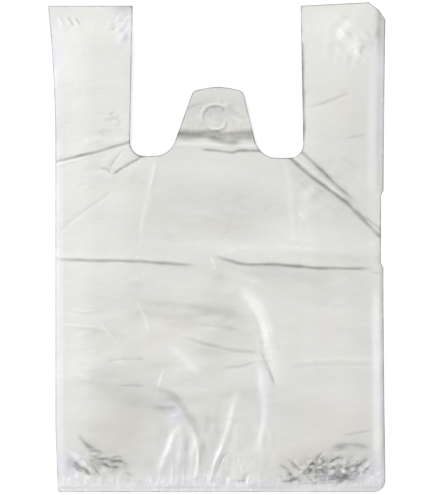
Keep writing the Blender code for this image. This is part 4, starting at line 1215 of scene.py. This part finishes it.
def mesh_of(name, sheets):
    """One mesh of several sheets of faces, whose shared corners are joined by their places.

    A sheet is its points, their heights, their values for each attribute, and its faces."""
    places, values, faces, passed = [], [], [], 0
    for points, heights, attributes, corners in sheets:
        places.append(np.column_stack([np.tile(points, (LEVELS, 1)), heights.ravel()]))
        values.append(np.tile(np.stack(list(attributes.values()), axis=1), (LEVELS, 1)))
        faces.append(corners + passed)
        passed += LEVELS * len(points)
    used, corners = np.unique(np.vstack(faces), return_inverse=True)
    places, values = np.vstack(places)[used], np.vstack(values)[used]
    _, kept, joined = np.unique(np.round(places / JOIN), axis=0, return_index=True, return_inverse=True)
    places, values = places[kept].astype(np.float32), values[kept].astype(np.float32)
    corners = joined.reshape(-1)[corners.reshape(-1)].astype(np.int32)
    data = bpy.data.meshes.new(name)
    data.vertices.add(len(places))
    data.vertices.foreach_set("co", places.ravel())
    data.loops.add(len(corners))
    data.loops.foreach_set("vertex_index", corners)
    data.polygons.add(len(corners) // 3)
    data.polygons.foreach_set("loop_start", np.arange(0, len(corners), 3, dtype=np.int32))
    data.update(calc_edges=True)
    data.validate()
    for key, column in zip(sheets[0][2], values.T):
        data.attributes.new(key, "FLOAT", "POINT").data.foreach_set("value", column.copy())
    data.shade_smooth()
    data.set_sharp_from_angle(angle=math.radians(60))
    return data


class Value:
    """A socket of some nodes that takes part in sums as a number does."""

    def __init__(self, nodes, socket):
        self.nodes, self.socket = nodes, socket

    def math(self, operation, *values):
        sockets = dict(enumerate(values))
        return self.nodes.node("ShaderNodeMath", {"operation": operation}, sockets)

    def __add__(self, other):
        return self.math("ADD", self, other)

    def __sub__(self, other):
        return self.math("SUBTRACT", self, other)

    def __rsub__(self, other):
        return self.math("SUBTRACT", other, self)

    def __mul__(self, other):
        return self.math("MULTIPLY", self, other)

    def absolute(self):
        return self.math("ABSOLUTE", self)

    def clamped(self):
        return self.nodes.node("ShaderNodeClamp", {}, {0: self})

    __radd__ = __add__
    __rmul__ = __mul__


class Nodes:
    """The nodes of a material or of the world."""

    def __init__(self, tree):
        self.tree = tree

    def node(self, kind, settings, sockets, output=0):
        """A node of a kind, with its settings made first and then its sockets set or linked."""
        made = self.tree.nodes.new(kind)
        for name, value in settings.items():
            setattr(made, name, value)
        for name, value in sockets.items():
            self.set(made.inputs[name], value)
        return Value(self, made.outputs[output])

    def set(self, socket, value):
        if isinstance(value, Value):
            self.tree.links.new(value.socket, socket)
        else:
            socket.default_value = value

    def rays(self, *kinds):
        """1 for rays of the given kinds, and 0 for others."""
        return sum(self.node("ShaderNodeLightPath", {}, {}, kind) for kind in kinds).clamped()


class Finish(Nodes):
    """A material and its nodes, ending in one Principled shader."""

    def __init__(self, name):
        self.data = bpy.data.materials.new(name)
        self.data.use_nodes = True
        super().__init__(self.data.node_tree)
        self.shader = self.tree.nodes["Principled BSDF"]

    def attribute(self, name):
        return self.node("ShaderNodeAttribute", {"attribute_name": name}, {}, "Fac")

    def place(self):
        return self.node("ShaderNodeTexCoord", {}, {}, "Object")

    def stretched(self, scale):
        """Places on the object, stretched."""
        settings = {"operation": "MULTIPLY"}
        return self.node("ShaderNodeVectorMath", settings, {0: self.place(), 1: scale})

    def noise(self, scale, detail, vector=None, roughness=0.5):
        sockets = {"Scale": scale, "Detail": detail, "Roughness": roughness}
        sockets["Vector"] = vector or self.place()
        return self.node("ShaderNodeTexNoise", {}, sockets, "Fac")

    def mixed(self, share, low, high):
        """A colour between two colours."""
        settings = {"data_type": "RGBA"}
        return self.node("ShaderNodeMix", settings, {0: share, 6: low, 7: high}, 2)

    def band(self, value, start, end, soft):
        """1 where a value lies between start and end, falling to 0 over a soft edge outside them."""
        up = (value - (start - soft)) * (1 / soft)
        down = ((end + soft) - value) * (1 / soft)
        share = up.clamped() * down.clamped()
        return share * share * (3 - share * 2)

    def bump(self, height, strength, distance):
        sockets = {"Height": height, "Strength": strength, "Distance": distance}
        return self.node("ShaderNodeBump", {}, sockets)

    def finish(self, **sockets):
        for name, value in sockets.items():
            self.set(self.shader.inputs[name.replace("_", " ")], value)
        return self.data


def edge_tones(film, streaks, mottle, cloud):
    """Painted light and shade at the film's edges: a thin line of painted shade on the rim, painted shade
    by the front's right fold, painted highlights beside the side folds, and a pale band by the weld.
    """
    rim, low = film.attribute("rim_gap"), film.attribute("low_gap")
    left, right = film.attribute("left_gap"), film.attribute("right_gap")
    strip = film.attribute("strip")
    # A thin line of painted shade along the rim, broken into dots
    rim_dots = (film.noise(RIM_DOTS, 2.0) * 2.6 - 0.6).clamped()
    line = (1.5 - rim * 1.15).clamped() * (mottle * 0.8 + 0.4) * (rim_dots * 0.7 + 0.35)
    # Painted highlights beside the side folds
    fold_highlights = (film.band(left, *LEFT_HIGHLIGHT_BAND) + film.band(right, *RIGHT_HIGHLIGHT_BAND)) * strip * (cloud + 0.5)
    # Painted shade just inside the front's right fold, and on the back panel beyond it
    outer = film.band(right, *OUTER_SHADE_BAND) * strip * 0.22
    back_panel_shade = (0 - right * 0.4).clamped() * 0.17
    # A pale mottled band by the bottom weld
    weld = film.band(low, *WELD_BAND) * (mottle + streaks) * 0.26
    return line + outer + back_panel_shade - fold_highlights - weld


def film_base(film, tone, tint, colours):
    """The film's colour: warm or cool by its tint, turned towards painted shade where its tone is positive
    and towards painted highlight where it is negative; the highlight takes a cool cast where the tint is
    cool.
    """
    base = film.mixed(tint.clamped(), tuple(colours.milky), tuple(colours.warm))
    base = film.mixed((0 - tint).clamped(), base, tuple(colours.cool))
    base = film.mixed(tone.clamped(), base, tuple(colours.painted_shade))
    pale = film.mixed(((0 - tint) * 2).clamped(), tuple(colours.cream_highlight), tuple(colours.pale))
    return film.mixed((0 - tone).clamped(), base, pale)


def film_finish(colours):
    """Milky film, softly glossy, with painted shade along creases, in soft spots and in crumpled patches,
    painted highlights on ridges, glints, gathered film and beside its folds, and random mottle.
    """
    film = Finish("milky_film")
    streaks = film.noise(1.0, 3.0, film.stretched(STREAKS))
    mottle = film.noise(MOTTLE, 4.0, None, 0.6)
    cloud = film.noise(1.0, 3.0, film.stretched(CLOUDS))
    spikes = film.noise(1.0, 3.0, film.stretched(SPIKES), 0.6)
    hatching = film.noise(1.0, 2.0, film.stretched(HATCHING), 0.6)
    # Fine lines of painted shade in the crumpled patches, also grooves in the bump
    lines = (1 - (spikes - 0.5).absolute() * 16).clamped() * film.attribute("crumpled")
    # Painted highlights on the gathered film above the weld, also ridges in the bump
    above_weld = film.band(film.attribute("low_gap"), *GATHER_HIGHLIGHT_BAND)
    gather_highlights = above_weld * ((hatching - 0.54) * 6).clamped() * cloud * 0.9
    # Tone: painted shade where positive and painted highlight where negative, varied at random by patches,
    # cloud and mottle
    tone = film.attribute("tone") * (film.noise(PATCHES, 3.0) * 0.6 + 0.7)
    tone = tone + (cloud - 0.5) * 0.3 + lines * 0.16 + (mottle - 0.5) * 0.1
    tone = tone + edge_tones(film, streaks, mottle, cloud) - gather_highlights
    tint = film.attribute("tint") + (film.noise(DRIFT, 2.0) - 0.5) * 0.6
    ripples = streaks * 0.3 + mottle * 0.5 - lines * 0.6 + cloud * 2.0 + gather_highlights
    return film.finish(
        Base_Color=film_base(film, tone, tint, colours),
        Roughness=(mottle - 0.5) * 0.2 + colours.gloss,
        Normal=film.bump(ripples, 0.5, 0.0008),
    )


def floor_finish(colours):
    """Pale floor that looks white and keeps a soft shadow."""
    floor = Finish("floor_finish")
    seen = floor.rays("Is Camera Ray", "Is Glossy Ray", "Is Transmission Ray")
    lit = floor.mixed(seen, tuple(colours.floor_colour), tuple(colours.floor_seen))
    glow = floor.mixed(seen, (0, 0, 0, 1), tuple(colours.floor_glow))
    return floor.finish(
        Base_Color=lit, Roughness=1.0, Specular_IOR_Level=0.0, Emission_Color=glow,
        Emission_Strength=1.0,
    )


def film_sheets(shape, sizes):
    """The faces of the lower films and of the front film, as the sheets that one mesh joins."""
    relief, edge = Relief(sizes), shape.outline(sizes.side_step)
    fixed = fixed_plan(shape, sizes, edge)
    sheets = []
    for (points, triangles), levels, spaces in (
        (calm_plan(fixed, shape, sizes, edge), range(FRONT_PANEL), range(FRONT_PANEL)),
        (front_plan(fixed, shape, sizes, edge, relief), range(FRONT_PANEL, LEVELS), [FRONT_PANEL]),
    ):
        filled = shape.filled(points[triangles].mean(axis=1), edge)
        rise, tone = relief.height_and_tone(points)
        heights = film_heights(points, shape, sizes, rise)
        faces = film_faces(len(points), triangles, filled, levels, spaces)
        attributes = {"tone": tone, "tint": soft_spots(points, TINTS)}
        attributes |= {"crumpled": relief.crumpled(points)} | edge_gaps(points, shape, edge)
        sheets.append((points, heights, attributes, faces))
    return sheets


class CARRIER_BAG_OT_film(bpy.types.Operator):
    """Make the bag as one closed film mesh and give it its finish."""

    bl_idname = "carrier_bag.film"
    bl_label = "Bag Film"

    def execute(self, context):
        scene = context.scene
        shape = Shape(scene.carrier_bag_body, scene.carrier_bag_handles, scene.carrier_bag_tab)
        data = mesh_of("bag_film", film_sheets(shape, scene.carrier_bag_film))
        data.materials.append(film_finish(scene.carrier_bag_finish))
        bag = bpy.data.objects.new("bag_film", data)
        scene.collection.objects.link(bag)
        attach(bag, "root")
        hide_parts("carrier_bag")
        return {"FINISHED"}


class CARRIER_BAG_OT_stage(bpy.types.Operator):
    """Make the floor, the lamps and the camera that looks straight down."""

    bl_idname = "carrier_bag.stage"
    bl_label = "Floor, Lamps and Camera"

    def execute(self, context):
        scene, stage = context.scene, context.scene.carrier_bag_stage
        data = bpy.data.meshes.new("floor")
        signs = ((-1, -1), (1, -1), (1, 1), (-1, 1))
        data.from_pydata([(x * FLOOR_HALF, y * FLOOR_HALF, 0) for x, y in signs], [], [(0, 1, 2, 3)])
        data.materials.append(floor_finish(stage))
        floor = bpy.data.objects.new("floor", data)
        floor.location.z = CAD_LOW.z - FLOOR_DROP
        scene.collection.objects.link(floor)
        self.add_world(scene, stage)
        self.add_lamps(scene, stage)
        self.add_camera(scene, stage)
        scene.view_settings.view_transform = "Standard"
        return {"FINISHED"}

    def add_world(self, scene, stage):
        """Even light from all round, and a pale backdrop for the camera alone."""
        world = bpy.data.worlds.new("even_light")
        world.use_nodes = True
        nodes, background = Nodes(world.node_tree), world.node_tree.nodes["Background"]
        nodes.set(background.inputs["Color"], (1, 1, 1, 1))
        strength = nodes.rays("Is Camera Ray") * (stage.backdrop - stage.sky) + stage.sky
        nodes.set(background.inputs["Strength"], strength)
        scene.world = world

    def add_lamps(self, scene, stage):
        """A large low lamp at the upper left, kept out of the film's gloss, and two that gleam in it."""
        for name, share, degrees_up, degrees_round, size, tint, shines in (
            ("key_lamp", stage.key, 34, 138, 1.7, (1, 1, 0.98), False),
            ("gleam_lamp_left", stage.gleam, 66, 160, 1.1, (0.97, 0.97, 1), True),
            ("gleam_lamp_right", stage.gleam * RIGHT_GLEAM, 62, 15, 1.1, (0.97, 0.97, 1), True),
        ):
            height, turn = math.radians(degrees_up), math.radians(degrees_round)
            across = math.cos(height)
            way = Vector((across * math.cos(turn), across * math.sin(turn), math.sin(height)))
            lamp = bpy.data.lights.new(name, "AREA")
            lamp.shape = "DISK"
            lamp.size = size
            lamp.color = tint
            lamp.energy = share * (math.pi * LAMP_DISTANCE) ** 2 / math.sin(height)
            item = bpy.data.objects.new(name, lamp)
            item.location = way * LAMP_DISTANCE
            item.rotation_euler = way.to_track_quat("Z", "Y").to_euler()
            item.visible_glossy = shines
            scene.collection.objects.link(item)

    def add_camera(self, scene, stage):
        """The photograph's frame, seen from straight above."""
        middle = from_photo(np.array(PHOTO_SIZE) / 2)
        data = bpy.data.cameras.new("camera")
        data.lens = data.sensor_width * stage.camera_height / (PHOTO_SIZE[1] * PIXEL)
        camera = bpy.data.objects.new("camera", data)
        camera.location = (*middle, stage.camera_height)
        scene.collection.objects.link(camera)
        scene.camera = camera


class CARRIER_BAG_PT_panel(bpy.types.Panel):
    """The carrier bag's sizes, colours and operators."""

    bl_idname = "CARRIER_BAG_PT_panel"
    bl_label = "Carrier Bag"
    bl_space_type = "VIEW_3D"
    bl_region_type = "UI"
    bl_category = "Carrier Bag"

    def draw(self, context):
        for attribute, group in GROUPS.items():
            box = self.layout.box()
            box.label(text=group.__doc__)
            for name in group.__annotations__:
                box.prop(getattr(context.scene, attribute), name)
        for operator in OPERATORS:
            self.layout.operator(operator.bl_idname)


GROUPS = {
    "carrier_bag_body": BodySizes,
    "carrier_bag_handles": HandleSizes,
    "carrier_bag_tab": TabSizes,
    "carrier_bag_film": FilmSizes,
    "carrier_bag_finish": FilmFinish,
    "carrier_bag_stage": StageSettings,
}
OPERATORS = (CARRIER_BAG_OT_stage, CARRIER_BAG_OT_film)


def register():
    for group in GROUPS.values():
        bpy.utils.register_class(group)
    for operator in OPERATORS:
        bpy.utils.register_class(operator)
    bpy.utils.register_class(CARRIER_BAG_PT_panel)
    for attribute, group in GROUPS.items():
        setattr(bpy.types.Scene, attribute, PointerProperty(type=group))


def unregister():
    for attribute in GROUPS:
        delattr(bpy.types.Scene, attribute)
    bpy.utils.unregister_class(CARRIER_BAG_PT_panel)
    for operator in reversed(OPERATORS):
        bpy.utils.unregister_class(operator)
    for group in reversed(GROUPS.values()):
        bpy.utils.unregister_class(group)


def main():
    register()
    bpy.ops.carrier_bag.stage()
    bpy.ops.carrier_bag.film()


if __name__ == "__main__":
    main()
